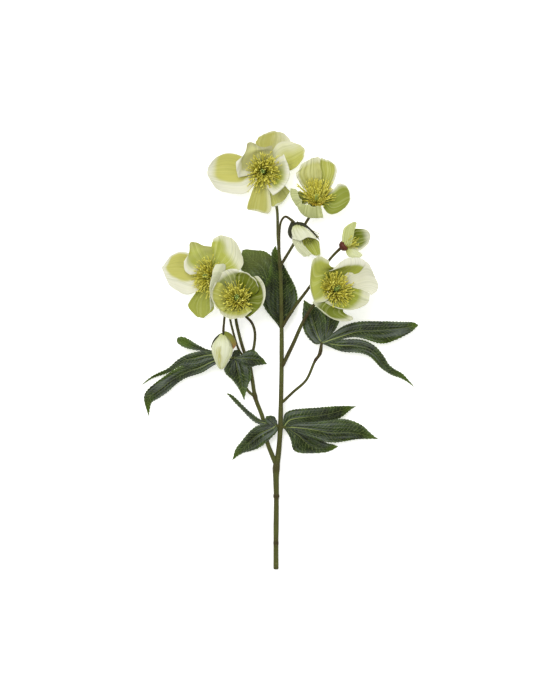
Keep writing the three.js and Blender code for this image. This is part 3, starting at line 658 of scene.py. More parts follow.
receptacle = {"radius": 5.2, "height": 3.2}
seatGap = 0.35
topFlower = dict(name="top_flower", centre=(-16.4, 177.8, 15), axis=(-0.12, 0, 1), stamens=dict(count=340,
    length=(9, 18.5), lean=(0.2, -0.05, 0)), sepals={
    "inner_right": dict(drop=-0.4, heading=-18, margin=(7.5, 5, 7.5), soft=(0.75, 0.6, 0.75), tone=1.0,
        dull=0.1, paint=1.6, streak=0.5, collar=(9.5, 62, 2.5), rows=[
        [(-9.4, 156.2, 32), (0, 162.2, 33), (6, 172.1, 33), (4.5, 183.5, 33), (1.5, 192.4, 33)],
        [(-6.4, 153.5, 31.5), (3.8, 162.2, 32), (9.5, 173.1, 32), (7.7, 183.5, 32), (3, 194.4, 32.5)],
    ]),
    "inner_left": dict(drop=-0.4, heading=123, margin=(9.5, 0, 0), soft=(0.5, 0.8, 0.8), tone=0.25,
        pale=0.25, flush=0.4, streak=0.5, paintedTipShade=(1.2, 6), collar=(9.5, 70, 1.5), rows=[
        [(-7, 186.1, 19.5), (-13.9, 188.6, 18), (-22.9, 188.6, 18), (-29.9, 185.1, 18.5),
         (-34.8, 180.1, 20), (-38.8, 172.2, 23)],
        [(-7, 194.8, 24), (-13.9, 195.9, 22), (-22.9, 195.4, 21.5), (-30.8, 191.4, 22.5),
         (-36.8, 185.4, 24), (-42.2, 173.8, 27.5)],
        [(-7.4, 200.8, 28), (-14.9, 199.7, 26.5), (-22.8, 199.2, 26.5), (-30.3, 198.2, 27),
         (-36.7, 191.7, 27.5), (-43.5, 180.6, 30)],
        [(-7.9, 203.8, 27), (-15.9, 201.6, 24.5), (-23.9, 203.9, 21.5), (-32.3, 206.1, 21.5),
         (-34.3, 196.2, 27), (-43.4, 188.4, 30)],
    ]),
    "left": dict(drop=-1.4, heading=182, margin=(13.5, 0.6, 7), soft=(0.12, 1, 0.6), tone=0.05,
        collar=(9, 28, 0.4), rows=[
        [(-32.9, 191.2, 17.5), (-33.9, 182.3, 16.3), (-33.9, 176.3, 16), (-33.4, 169.3, 16.8),
         (-30.3, 158.7, 20.5)],
        [(-50.7, 195.7, 21), (-50.8, 187.1, 18.5), (-51.3, 177.2, 17.3), (-50.8, 167.8, 17.6),
         (-47.7, 155.2, 24.5)],
        [(-62.1, 192.9, 23.5), (-63.7, 185, 21), (-64.2, 177.1, 19.8), (-62.7, 169.1, 20.1),
         (-60.1, 158.4, 26.5)],
        [(-68.1, 187.3, 25.5), (-71.1, 182.4, 24), (-72.3, 177.9, 23.5), (-70.6, 171, 24),
         (-66.5, 162.9, 27)],
    ]),
    "top": dict(drop=-2.2, heading=70, creamMost=0.72, margin=(0.3, 12, 1.2), streak=0.3, soft=(1, 1, 0.9),
        tone=0.0, dull=0.5, collar=(9, 28, 0), rows=[
        [(5, 191.3, 14.2), (-4, 195.4, 13), (-14, 195.4, 13), (-18.9, 193.3, 13.5)],
        [(10.5, 201.4, 11.5), (-1, 206.5, 9.8), (-14, 206.5, 9.8), (-23.4, 203.5, 10.2)],
        [(10.8, 208.1, 8), (0, 213.2, 5), (-12, 212.2, 5), (-23.7, 209.2, 5.5)],
        [(6, 215.3, 3.5), (-2, 218.7, 1.4), (-12, 217.6, 1.2), (-20.5, 214.6, 1.6)],
    ]),
    "right": dict(drop=-1.4, heading=30, creamMost=0.7, margin=(11, 0.3, 1.2), streak=0.3,
        soft=(0.9, 1, 0.9), tone=0.35, collar=(9, 28, 0.2), rows=[
        [(4, 181.2, 16.5), (1, 187.3, 15), (-3, 192.3, 15), (-7, 199.2, 15.8)],
        [(10.5, 178.7, 18), (9, 188.3, 15.6), (4, 197.3, 15), (-1, 206.2, 15.8)],
        [(18.4, 184.1, 19), (16.4, 191.7, 17), (12, 200.2, 16.2), (7.5, 208.2, 14.8)],
        [(24.1, 191.6, 19), (24.7, 197.1, 18), (21.4, 203.6, 16.8), (13, 207, 15)],
    ]),
    "lower_right": dict(drop=-2.8, heading=-50, margin=(0.3, 0.3, 0.5), soft=1, tone=0.35, pale=0.1,
        streak=0.5, collar=(9, 28, 0), rows=[
        [(-9.5, 145.5, 13.3), (-1, 149.1, 12), (7.5, 161.5, 13.2)],
        [(-4, 145.9, 13), (3, 149, 12.2), (8.3, 156.5, 13)],
    ]),
    "bottom": dict(drop=-0.8, heading=-99, creamMost=0.55, margin=(3.2, 0.4, 1.6), soft=(1, 1, 0.6),
        tone=0.15, dull=0.3, streak=0.4, collar=(9.5, 32, 0.6), rows=[
        [(-32, 146.2, 20.5), (-21.9, 144.8, 18), (-8.5, 144.8, 18.6)],
        [(-31.3, 139.3, 20.5), (-22.9, 138.1, 18.6), (-13.1, 135, 20)],
    ]),
})

upperRightFlower = dict(name="upper_right_flower", centre=(36, 149, 20), axis=(0.05, 0.45, 0.9),
    stamens=dict(elevation=(30, 84), length=(9, 19), lean=(0, 1.0, -0.2)), sepals={
    "bottom": dict(drop=-0.6, heading=-105, margin=(1, 1, 2), soft=0.8, tone=1.4, flush=0.75, streak=0.9,
        ruffle=1.2, collar=(8.5, 48, 0), rows=[
        [(30.9, 142.4, 17.5), (34.9, 141.4, 17), (38.8, 142.4, 17.5)],
        [(19.4, 138.7, 23), (28.8, 132.3, 21.5), (42.6, 132.4, 23)],
        [(18.4, 142.4, 30), (27.8, 135.9, 31), (41.7, 137.5, 30)],
        [(20.8, 146.2, 34.5), (28.7, 143.2, 37), (40.6, 142.2, 35)],
    ]),
    "top_left": dict(drop=-0.4, heading=97, creamMost=0.75, margin=(4, 0, 5), soft=(0.9, 1, 0.9), tone=0.3,
        pale=0.15, streak=1, ruffle=1.5, waves=3.5, pleats=1.5, paint=0.5, collar=(9.5, 42, 2), rows=[
        [(41.7, 170.8, 27), (33.8, 170.9, 26), (24.8, 170.9, 26.5), (17.4, 169.8, 28.5)],
        [(40.2, 181.6, 30), (32.8, 181.7, 29.5), (24.8, 180.6, 30), (17.2, 176.6, 31)],
        [(39.5, 192, 31), (32.7, 191, 32), (26.8, 187.5, 31.8), (22.3, 186.5, 31.5)],
    ]),
    "left": dict(drop=-1.8, heading=170, margin=(1, 1, 2), soft=0.8, tone=1.4, flush=0.65, streak=0.9,
        ruffle=1.2, collar=(8.5, 40, 0), rows=[
        [(26.9, 156.2, 19.5), (25.4, 151.3, 18.5), (26.9, 146.3, 18.5)],
        [(11.4, 159.5, 26), (12.4, 151.1, 24), (19.4, 139.7, 22)],
        [(12.9, 160.2, 32), (14.9, 151.8, 32), (20.3, 141.4, 30)],
        [(15.9, 159.1, 36), (18.8, 152.1, 37), (22.8, 144.2, 36)],
    ]),
    "top_right": dict(drop=-2.4, heading=70, margin=(0, 2, 1.6), soft=(1, 0.8, 0.8), tone=0.55, dull=0.1,
        streak=0.9, ruffle=1.1, pleats=0.7, collar=(9.5, 40, 2), rows=[
        [(54.6, 169.9, 25.5), (46.7, 171, 23), (39.3, 170, 23)],
        [(56.4, 179.8, 26.5), (47.7, 181.4, 24.5), (37.8, 180.9, 25)],
        [(53.6, 185.7, 27), (46.7, 189.3, 26), (38.2, 191.2, 26)],
    ]),
    "right": dict(drop=-0.4, heading=1, margin=(2.5, 0.3, 0.5), soft=(0.9, 1, 1), tone=1.55, streak=0.5,
        collar=(9.5, 46, 1), rows=[
        [(47.7, 135.6, 25.5), (52.7, 144.2, 22.5), (53.2, 160, 24.5)],
        [(57.6, 136.3, 27.5), (62.6, 148.1, 24.5), (57.6, 165.1, 26.5)],
        [(66, 142.5, 28.5), (70, 151.9, 28), (66.5, 163.8, 28.5)],
    ]),
})

leftFlower = dict(name="left_flower", centre=(-69, 73, 21), axis=(-0.55, 0.05, 0.8),
    stamens=dict(length=(9, 18)), sepals={
    "upper_left": dict(drop=-1.8, heading=116, margin=(8, 0, 0), soft=(0.7, 1, 1), tone=0.85, pale=0.05,
        streak=0.4, paintedTipShade=(0.6, 6), collar=(9.5, 44, 1), rows=[
        [(-66.6, 86.4, 26), (-71.6, 87, 24.5), (-76.5, 85, 24.5), (-80.5, 81.5, 25.5), (-83.4, 75.5, 27)],
        [(-66.5, 94.3, 29), (-74.5, 94.3, 27.5), (-81.4, 90.9, 28), (-87.4, 85.4, 29.5),
         (-91.8, 75.9, 31.5)],
        [(-67.5, 99.7, 31.5), (-76.4, 99.2, 30), (-85.3, 96.8, 30.5), (-90.8, 91.3, 32),
         (-95.2, 82.3, 33.5)],
        [(-68.5, 103.9, 30.5), (-78.4, 104.3, 28), (-89, 108, 27), (-89.8, 98.2, 31), (-94.7, 89.8, 33)],
    ]),
    "right": dict(drop=-0.4, heading=-20, margin=(1.5, 1.5, 3), tone=0.6, flush=0.1, collar=(8, 50, 2),
        rows=[
        [(-66.5, 47.6, 31), (-64.2, 61.5, 31), (-55.6, 77.9, 31)],
        [(-68, 40.6, 38), (-67.1, 60.4, 40), (-55.5, 85.2, 38)],
        [(-68.6, 38.6, 43), (-69, 60.3, 46.5), (-66.3, 83.6, 43)],
    ]),
    "left": dict(drop=-2.6, heading=172, margin=(14, 1.8, 4), soft=(0.12, 0.7, 0.4), tone=0.1,
        collar=(9.5, 38, 0.6), rows=[
        [(-80.5, 87.5, 24.5), (-82.5, 79.5, 23), (-83.5, 72.6, 22.5), (-83, 65.6, 23.5),
         (-81.5, 58.6, 26.5)],
        [(-93.3, 97.5, 28.5), (-94.9, 88.4, 26), (-95.4, 79.5, 24.3), (-95.4, 70.1, 24.8),
         (-94.3, 55.8, 30)],
        [(-105.7, 95.5, 29), (-107.8, 87.4, 27.5), (-108.3, 80.5, 26), (-106.3, 72, 26), (-104.7, 60, 31)],
        [(-111.2, 90.8, 29), (-115.2, 85.4, 28), (-116.8, 80.6, 27.5), (-114.4, 73.5, 28),
         (-111.2, 65.5, 30)],
    ]),
    "upper_right": dict(drop=-2.4, heading=54, creamMost=0.85, margin=(0, 24.5, 3), soft=(1, 0.18, 0.9),
        tone=0.75, creamFrom=(19, 29), streak=0.6, collar=(9.5, 40, 0.4), rows=[
        [(-40.3, 79.6, 22), (-48.8, 87.6, 18.5), (-57.7, 95.6, 18), (-68.1, 97.5, 20.5)],
        [(-37.5, 92.5, 23), (-44.8, 100.5, 19.5), (-54.7, 106.5, 19), (-67.6, 107.4, 21)],
        [(-40.5, 100.9, 22.5), (-45.8, 109.4, 20.5), (-56.4, 114.2, 20), (-65.2, 111.8, 21)],
    ]),
    "bottom": dict(drop=-1.2, heading=-106, margin=(0, 0, 0), soft=1, tone=1.1, dull=0.3, streak=0.4,
        collar=(9.5, 40, 0.6), rows=[
        [(-87.5, 52.2, 22), (-77.6, 51.7, 20), (-66.7, 51.7, 20.8)],
        [(-91.2, 43.3, 22.5), (-79.6, 41.8, 20.5), (-65.6, 41.8, 21.3)],
        [(-87.5, 37.5, 22.3), (-78.8, 31.8, 21.3), (-69.6, 36.8, 21.8)],
    ]),
})

cupFlower = dict(name="cup_flower", centre=(-42, 50, 27), axis=(-0.1, 0.3, 0.95), stamens=dict(count=210,
    elevation=(38, 82), length=(7.5, 16.5)), sepals={
    "left": dict(drop=-2, heading=184, collar=(9.5, 46, 1.5), margin=(0, 0, 2.2), soft=0.9, tone=0.45,
        paint=0.6, streak=0.7, ruffle=1.2, rows=[
        (8.5, 16, 136, 232),
        (14.5, 21.3, 140, 228),
        (19.5, 24, 152, 214),
    ]),
    "upper_right": dict(drop=-2.2, heading=50, collar=(9.5, 42, 1.5), margin=(0, 0, 1.6), soft=0.6, tone=2,
        dull=0.15, paint=2.6, streak=0.6, ruffle=1.2, rows=[
        (8.5, 16.4, 6, 92),
        (14.5, 21.6, 8, 90),
        (19.3, 23.8, 24, 78),
    ]),
    "bottom": dict(drop=-1, heading=-97, collar=(9.5, 50, 1.5), margin=(0, 0, 6.5), soft=(0.9, 0.9, 0.6),
        tone=0.5, paint=0.55, streak=0.7, ruffle=1.6, creamMost=0.85, rows=[
        (7, 15.5, 212, 318),
        (12.5, 21.5, 216, 314),
        (16.5, 25.3, 232, 298),
    ]),
    "top": dict(drop=-2.8, heading=118, collar=(9.5, 42, 1.5), margin=(0, 0, 5.5), soft=(0.9, 0.9, 0.6),
        tone=1.85, paint=1.8, streak=0.8, pale=0.1, ruffle=1.0, rows=[
        (8, 17.6, 76, 160),
        (13.5, 23.3, 78, 160),
        (17.5, 27, 92, 148),
    ]),
    "right": dict(drop=-2.8, heading=-5, collar=(9.5, 56, 1.5), margin=(0, 0, 4.5), soft=(0.9, 0.9, 0.3),
        tone=2, dull=0.2, paint=2.6, streak=0.5, rows=[
        (7.5, 18, -64, 52),
        (12.5, 25, -62, 50),
        (17.5, 29.5, -34, 38),
    ]),
})

rightFlower = dict(name="right_flower", centre=(54, 59, 28), axis=(0.4, 0.3, 0.85), stamens=dict(count=330,
    elevation=(28, 82), length=(9, 20), lean=(-0.22, -0.15, 0), paleFrom=0.45), sepals={
    "left": dict(drop=-1.2, heading=152, foot=11, collar=(9.8, 66, 2.5), margin=(4, 0, 3.5), soft=(1, 1, 1),
        tone=0.8, creamMost=0.6, paint=1.8, creamFrom=(9, 16), streak=0.5, rows=[
        (9, 18.5, 92, 232),
        [(50, 83.1, 43), (39.6, 79.2, 42), (32.2, 66.3, 43), (33.6, 52.4, 42), (36.6, 46.5, 41)],
        [(48.9, 89.9, 48), (39, 92.5, 49.5), (31.6, 85.9, 50), (29.9, 69.2, 47), (30.7, 58.3, 45),
         (34.1, 50, 43)],
    ]),
    "right": dict(drop=-1.6, heading=18, collar=(9.8, 40, 2.5), margin=(12, 12, 26), soft=(0.6, 0.6, 1),
        tone=0.3, pale=0.97, creamFrom=(2, 9), rows=[
        (9.5, 18, -20, 62),
        [(85.7, 57.4, 38), (86.2, 69.4, 35.5), (81.2, 87.1, 39)],
        [(90.5, 52.4, 42), (97, 61.9, 41), (94, 72.2, 41.5), (90, 83.1, 42)],
    ]),
    "lower_right": dict(drop=-1, heading=-44, foot=8, collar=(9.8, 50, 2.2), margin=(0, 7, 10.5),
        soft=(1, 0.5, 0.45), tone=1.25, creamMost=0.8, streak=0.6, creamFrom=(9, 15), rows=[
        (6.5, 14.6, -122, 12),
        [(45, 47, 44), (56.4, 42.5, 42.5), (69.3, 42.1, 41), (79.2, 48.5, 40), (83.2, 58.9, 39.5)],
        [(60.3, 39.9, 45.5), (72.2, 39.7, 45), (80.6, 42.5, 44.5), (87, 47, 44.5), (89.5, 54.4, 43.5)],
    ]),
    "top": dict(drop=-2.8, heading=80, collar=(9.8, 46, 2.5), margin=(0, 0, 8), soft=(0.8, 0.8, 0.25),
        tone=0.95, streak=0.35, rows=[
        (9, 18.5, 36, 128),
        [(83.2, 83.2, 39), (67.3, 83.2, 40), (50.5, 78.2, 41.5)],
        [(83.1, 90.1, 41.5), (68.3, 91.2, 43), (54.9, 83.6, 43.5)],
    ]),
    "bottom": dict(drop=-2.2, heading=-100, foot=11, collar=(9.8, 60, 2.5), margin=(0, 7, 5.5),
        soft=(0.8, 0.6, 0.6), tone=1.95, dull=0.1, paint=3, creamMost=0.65, streak=0.6, creamFrom=(9, 16),
        rows=[
        (7, 16.5, 195, 310),
        [(33.6, 49.5, 41.5), (44.6, 38.6, 38.5), (62.4, 38.6, 36)],
        [(33.1, 47.5, 43), (45, 36.1, 41.5), (56.4, 29.4, 40), (67.3, 28.7, 39), (76.3, 31.7, 38.5)],
    ]),
})

openFlowers = (topFlower, upperRightFlower, leftFlower, cupFlower, rightFlower)


# Where a flower stands, and the way it faces at length 1.
def placeOf(flower):
    return np.array(flower["centre"], float), unit(np.array(flower["axis"], float))


# Directions square to an axis, at these angles round it.
def ringAround(axis, angles):
    first = unit(np.cross(axis, np.cross([1.0, 0, 0], axis)))
    angles = np.asarray(angles)[..., None]
    return first * np.cos(angles) + np.cross(axis, first) * np.sin(angles)


# The first two rows of a sepal. Its foot leaves the receptacle's rim under the sepal's heading, drop along
# the axis. Where the sepal has a collar, of a radius, half angle and height, the next row is an arc of it
# about the axis, so that the sepals wrap round each other and close the flower's cup.
def footRows(flower, sepal, count=5):
    centre, axis = placeOf(flower)
    outward = heading(sepal["heading"])
    outward = unit(outward - (outward @ axis) * axis)
    across = np.cross(axis, outward)
    base = centre + outward * (flower.get("rim", receptacle["radius"]) + seatGap) + axis * sepal["drop"]
    width = sepal.get("foot", sepalLook["foot"])
    rows = [base + across * np.linspace(-width / 2, width / 2, count)[:, None]]
    if "collar" in sepal:
        radius, halfAngle, height = sepal["collar"]
        turns = np.radians(np.linspace(-halfAngle, halfAngle, count))[:, None]
        middle = centre + axis * (sepal["drop"] + height)
        rows.append(middle + radius * (outward * np.cos(turns) + across * np.sin(turns)))
    return rows


# A row of points on an arc about a flower's axis: its height, its radius and the angles that it starts and
# ends at.
def arcRow(flower, height, radius, start, end, count=5):
    centre, axis = placeOf(flower)
    return centre + axis * height + radius * ringAround(axis, np.radians(np.linspace(start, end, count)))


# Makes a flower's sepals, one piece each, and returns them joined for the stamens to keep clear of.
def addSepals(flower):
    parts = []
    for i, (name, sepal) in enumerate(flower["sepals"].items()):
        rows = [arcRow(flower, *row) if isinstance(row, tuple) else row for row in sepal["rows"]]
        part = sepalPart([*footRows(flower, sepal), *rows], sepal, seed=10 * i + len(flower["name"]))
        piece = f"{flower['name']}.sepal.{name}"
        addPiece(piece, part, sepalMaterial, [piece.replace(".", "_")])
        parts.append(part)
    return joinParts(parts)


# Stamens grow where there is room. One that would pass through a sepal leans in towards the axis, an eighth
# of its spread at a time, and rises a little; one that still can't stand free is left out. Its last step
# goes on by antherRoom of its length, for the anther.
def clearOfSepals(flower, paths, sepals, tries=10, inwards=0.875, upwards=1.03, antherRoom=0.6):
    centre, axis = placeOf(flower)
    tree = BVHTree.FromPolygons(sepals["points"].tolist(), sepals["quads"].tolist())

    def isBlocked(path):
        ends = np.vstack([path[1:], (1 + antherRoom) * path[-1] - antherRoom * path[-2]])
        steps = np.diff(ends, axis=0)
        return any(tree.ray_cast(Vector(end), Vector(step), np.linalg.norm(step))[0] is not None
                   for end, step in zip(ends, steps))

    blocked = np.array([isBlocked(path) for path in paths])
    for _ in range(tries):
        if blocked.any():
            fromCentre = paths[blocked] - centre
            rise = (fromCentre @ axis)[..., None] * axis
            paths[blocked] = centre + upwards * rise + inwards * (fromCentre - rise)
            blocked[blocked] = [isBlocked(path) for path in paths[blocked]]
    return ~blocked


# Stamens: filaments from a collar round the carpels. Each rises at its own elevation over the collar's
# plane, and bends outwards, upwards and sideways along t^2, each by a mean and a spread; lean carries the
# whole tuft to one side. An anther sits on each end as a small egg, longer than wide. A filament's colour
# runs from paleFrom to paleTo of the anther's.
stamenLook = {
    "count": 280,
    "length": (7, 16),
    "elevation": (20, 82),
    "turnSpread": 0.08,
    "riseSpread": 0.07,
    "collar": (3.0, 4.9),
    "foot": 0.6,
    "radius": 0.31,
    "rows": 7,
    "sides": 5,
    "taper": (1.15, 0.8),
    "anther": (2.4, 0.47),
    "antherSize": (0.5, 1.2),
    "antherTilt": 0.5,
    "antherRows": 6,
    "antherSides": 6,
    "bend": 3.0,
    "bendSpreads": ((0.2, 0.5), (0.2, 0.5), (0, 0.6)),
    "lean": (0, 0, 0),
    "paleFrom": 0.0,
    "paleTo": 0.8,
}


def stamensPart(flower, sepals=None):
    look = {**stamenLook, **flower.get("stamens", {})}
    rng = np.random.default_rng(len(flower["name"]) + 3)
    centre, axis = placeOf(flower)
    count = look["count"]
    outward = ringAround(axis, np.arange(count) * goldenAngle + rng.normal(0, look["turnSpread"], count))
    rank = ((np.arange(count) + 0.5) / count)[rng.permutation(count)]
    elevation = np.radians(np.interp(rank, (0, 1), look["elevation"]))
    elevation += rng.normal(0, look["riseSpread"], count)
    length = rng.uniform(*look["length"], count)
    collar = np.interp(elevation, np.radians(look["elevation"]), look["collar"][::-1])
    foot = centre + axis * look["foot"] + outward * collar[:, None]
    sideways = np.cross(axis, outward)
    rise = unit(axis + np.array(look["lean"]))
    way = outward * np.cos(elevation)[:, None] + rise * np.sin(elevation)[:, None]
    bend = sum(direction * rng.normal(*spread, count)[:, None]
               for direction, spread in zip((outward, axis, sideways), look["bendSpreads"])) * look["bend"]
    t = np.linspace(0, 1, look["rows"])[:, None]
    paths = foot[:, None] + way[:, None] * (length[:, None, None] * t) + bend[:, None] * t**2
    if sepals:
        free = clearOfSepals(flower, paths, sepals)
        paths, sideways, count = paths[free], sideways[free], int(free.sum())
    vary = rng.uniform(0, 0.8, count)[:, None]
    taper = np.interp(t, (0, 1), look["taper"])
    pale = np.interp(t[:, 0], (0, 1), (look["paleFrom"], look["paleTo"]))
    filaments = tubes(paths, look["radius"] * taper, look["sides"], sideways, {"along": pale, "vary": vary})
    long, wide = look["anther"]
    size = rng.uniform(*look["antherSize"], (count, 1))
    lean = unit(unit(paths[:, -1] - paths[:, -2]) + rng.normal(0, look["antherTilt"], (count, 3)))
    s = np.linspace(-1, 1, look["antherRows"])
    antherPaths = paths[:, -1][:, None] + lean[:, None] * (s * size * long / 2)[..., None]
    antherRadii = wide * size * np.sqrt(np.maximum(1 - s**2, 0.04))
    anthers = tubes(antherPaths, antherRadii[..., None], look["antherSides"], sideways,
                    {"along": 1.0, "vary": vary})
    return joinParts([filaments, anthers])


# Tubes that stand in an even ring round a flower's axis, each along the same line: its distances from the
# axis, its heights and its radii.
def ringOfTubes(flower, count, turn, distances, heights, radii, sides, values):
    centre, axis = placeOf(flower)
    outward = ringAround(axis, np.arange(count) * fullTurn / count + turn)
    paths = centre + outward[:, None] * distances[:, None] + axis * heights[:, None]
    return tubes(paths, np.array(radii)[:, None], sides, np.cross(axis, outward), values)


# Carpels: pods that stand together on the receptacle, swollen by a sine from their foot to podEnd of their
# height, and drawn out above that into a style that curls outwards from curlFrom.
carpelLook = {
    "count": 5,
    "turn": 0.4,
    "spread": 1.35,
    "height": 11,
    "foot": 0.3,
    "podEnd": 0.72,
    "belly": 1.45,
    "style": 0.42,
    "stigma": 0.25,
    "curl": 3.2,
    "curlFrom": 0.75,
    "rows": 18,
    "sides": 12,
}


def carpelsPart(flower, look=carpelLook):
    t = np.linspace(0, 1, look["rows"])
    lean = look["spread"] * (1 - 0.35 * t) + look["curl"] * np.clip(t - look["curlFrom"], 0, 1)
    pod = np.sin(math.pi * np.clip(t / look["podEnd"], 0, 1)) ** 0.75 * (t < look["podEnd"])
    radii = look["style"] * (1 - 0.25 * t) + (look["belly"] - look["style"]) * pod
    radii += look["stigma"] * blendStep(0.95, 1, t)
    return ringOfTubes(flower, look["count"], look["turn"], lean, look["foot"] + look["height"] * t,
                       radii, look["sides"], {"along": t, "vary": 0.25})


# The receptacle: a shallow dome turned about the flower's axis, from the neck of the stalk to its rim.
# Its profile is radii and heights.
def receptaclePart(flower, profile, sides=28):
    centre, axis = placeOf(flower)
    radii, heights = np.array(profile, float).T[..., None]
    return tubes((centre + axis * heights)[None], radii[None], sides, ringAround(axis, [0]),
                 {"along": np.linspace(0, 1, len(radii)), "vary": 0.2})


# The seat of the nectaries: a thin funnel round the dome that closes the cup between the feet of the
# sepals. Its height rises evenly with its radius.
seatLook = {"radii": (4.4, 8.7), "heights": (0.5, 2.0), "thickness": 0.3, "rows": 4, "columns": 49}


def seatPart(flower, look=seatLook):
    centre, axis = placeOf(flower)
    share, turn = np.meshgrid(
        np.linspace(0, 1, look["rows"]), np.linspace(0, 1, look["columns"]), indexing="ij")
    radius, height = (np.interp(share, (0, 1), look[side])[..., None] for side in ("radii", "heights"))
    points = centre + axis * height + radius * ringAround(axis, turn * fullTurn)
    return thinSheet(points, look["thickness"], np.stack([turn, share], -1), {"along": 0.3, "vary": 0.3})


# Nectaries: a ring of small open horns between sepals and stamens, curved upwards and flaring at the mouth,
# where the last ring of points lies back inside the horn.
nectaryLook = {
    "count": 19,
    "ring": 5.3,
    "length": 5.6,
    "places": (0, 1 / 3, 2 / 3, 1, 0.7),
    "radii": (0.45, 1.05, 1.15, 1.2, 0.8),
    "colours": (0, 0.4, 0.8, 1, 0.6),
    "sides": 8,
}


def nectariesPart(flower, look=nectaryLook):
    t = np.array(look["places"])
    outwards = look["ring"] + look["length"] * 0.45 * t
    upwards = look["length"] * (0.35 * t + 0.55 * t**2) - 0.2
    return ringOfTubes(flower, look["count"], 0, outwards, upwards, look["radii"], look["sides"],
                       {"along": look["colours"], "vary": 0.3})


rim, height = receptacle["radius"], receptacle["height"]
dome = [(1.4, -height - 0.2), (2.9, -height), (rim - 0.5, -height * 0.66), (rim, -height * 0.3),
        (rim - 0.4, 0), (3.4, 0.7), (1, 0.9)]
for flower in openFlowers:
    name = flower["name"]
    sepals = addSepals(flower)
    seat = joinParts([receptaclePart(flower, dome), seatPart(flower)])
    addPiece(f"{name}.receptacle", seat, receptacleMaterial)
    addPiece(f"{name}.carpels", carpelsPart(flower), carpelMaterial, [f"{name}_pistil"])
    addPiece(f"{name}.stamens", stamensPart(flower, sepals), stamenMaterial, [f"{name}_stamens"])
    addPiece(f"{name}.nectaries", nectariesPart(flower), nectaryMaterial)
    print(name, "made")

noddingBud = dict(name="nodding_bud", centre=(15.5, 123.5, 31), axis=(0.5, -0.84, 0.1), rim=2.6, sepals={
    "top": dict(drop=-0.4, heading=-50, margin=(20, 20, 30), tone=0, outerUp=True, streak=0.35, pleats=0.7,
        foot=6, creamFrom=(1, 4), rows=[
        [(12.4, 121, 34), (16.8, 122.9, 36.5), (23.3, 122.7, 36)],
        [(11.7, 115.5, 33), (19.8, 116.4, 38.5), (32.7, 115.6, 36)],
        [(12.2, 109.8, 32.5), (18.8, 108.8, 36.5), (23.8, 109.5, 37.5), (27.7, 111.7, 37.5),
         (37.2, 109.1, 34.5)],
    ]),
    "left": dict(drop=-2.8, heading=-64, margin=(2, 2, 12), soft=1, tone=0.8, outerUp=True, streak=0.8,
        flush=0.15, pleats=0.6, foot=5, rows=[
        [(12.4, 117.1, 29), (15.9, 116.1, 31), (19.9, 116.1, 30)],
        [(12.7, 107.8, 27), (16.9, 106.7, 30), (22.3, 107.7, 30)],
        [(16.9, 99.7, 25.5), (20.9, 100.3, 28), (26.8, 100.8, 28.5)],
        [(24.4, 91.8, 24), (27.8, 93.4, 25.5), (32.8, 94.6, 26)],
    ]),
    "right": dict(drop=-2.8, heading=-46, margin=(0, 0, 1.2), tone=1.1, dull=0.15, paint=1.7, streak=0.8,
        foot=5, rows=[
        [(21.3, 111.7, 28), (26.8, 112.3, 26.5), (31.8, 113.2, 27.5)],
        [(23.8, 104.8, 27.3), (30.3, 106.3, 25), (37.7, 108.8, 27)],
        [(28.8, 97.8, 26.8), (34.3, 99.4, 24.5), (39.7, 102.3, 26.5)],
        [(34.8, 93.1, 26), (37.6, 92.8, 25.3), (40.3, 92.9, 25.8)],
    ]),
})

openingBud = dict(name="opening_bud", centre=(64, 103.5, 27), axis=(0.85, 0.45, 0.25), rim=2.6, sepals={
    "right": dict(drop=-2.8, heading=22, margin=(0, 3, 6), soft=0.8, tone=2, paint=1.8, streak=0.7, foot=6,
        rows=[
        [(71.6, 100.4, 24.5), (70.1, 107.4, 22.5), (71.6, 114.8, 24.5)],
        [(77.5, 98.4, 25.5), (77.6, 109.4, 22.5), (75, 120.2, 25.5)],
        [(84.9, 102.8, 28), (85.4, 111.3, 26.5), (83.4, 120.2, 28)],
        [(88.8, 108.7, 31), (89.6, 113.1, 31), (88.3, 117.6, 31)],
    ]),
    "top": dict(drop=-0.8, heading=62, margin=(1, 1, 7), soft=1, tone=1.0, outerUp=True, streak=1,
        pleats=0.6, foot=5, flush=0.8, rows=[
        [(70, 103.2, 31), (66.5, 104.7, 32), (62, 105.6, 29)],
        [(73, 114, 33.5), (67.9, 114.5, 34), (61.8, 114.6, 31)],
        [(74.7, 120.9, 34.5), (69.9, 121.9, 35), (64.7, 122, 33)],
        [(76.3, 127.1, 34.5), (73.2, 126.9, 35), (69.9, 125.7, 34)],
    ]),
    "bottom": dict(drop=-1.2, heading=-17, margin=(1, 1, 5), soft=1, tone=0.8, outerUp=True, streak=0.8,
        foot=5, flush=0.35, rows=[
        [(65.2, 98.8, 26.5), (68, 100.3, 27.5), (72, 100.8, 27.8)],
        [(68.1, 92.7, 28), (72.5, 95.5, 29.5), (77.4, 98.3, 29.5)],
        [(75.4, 91.3, 29), (79.9, 92.3, 30), (82.4, 94.1, 29.8)],
    ]),
})

noddingSepals = addSepals(noddingBud)
addSepals(openingBud)

# The swollen end of a bud's stalk, round the axis, and the cup that the opening bud stands in.
budKnob = [(1.5, -3.3), (2.2, -2.4), (2.5, -1), (2.3, 0.4), (1.4, 1.6), (0.4, 2.3)]
calyxCup = [(1.5, -4.2), (3.4, -3.6), (5, -1.6), (5.4, 0.6), (4.6, 2.4), (2, 3)]
cupPlace = {**openingBud, "centre": (63.2, 103.4, 27)}
addPiece("nodding_bud.receptacle", receptaclePart(noddingBud, budKnob), bractMaterial,
         ["nodding_bud_receptacle"])
addPiece("opening_bud.calyx", receptaclePart(cupPlace, calyxCup), calyxMaterial,
         ["opening_bud_calyx"])


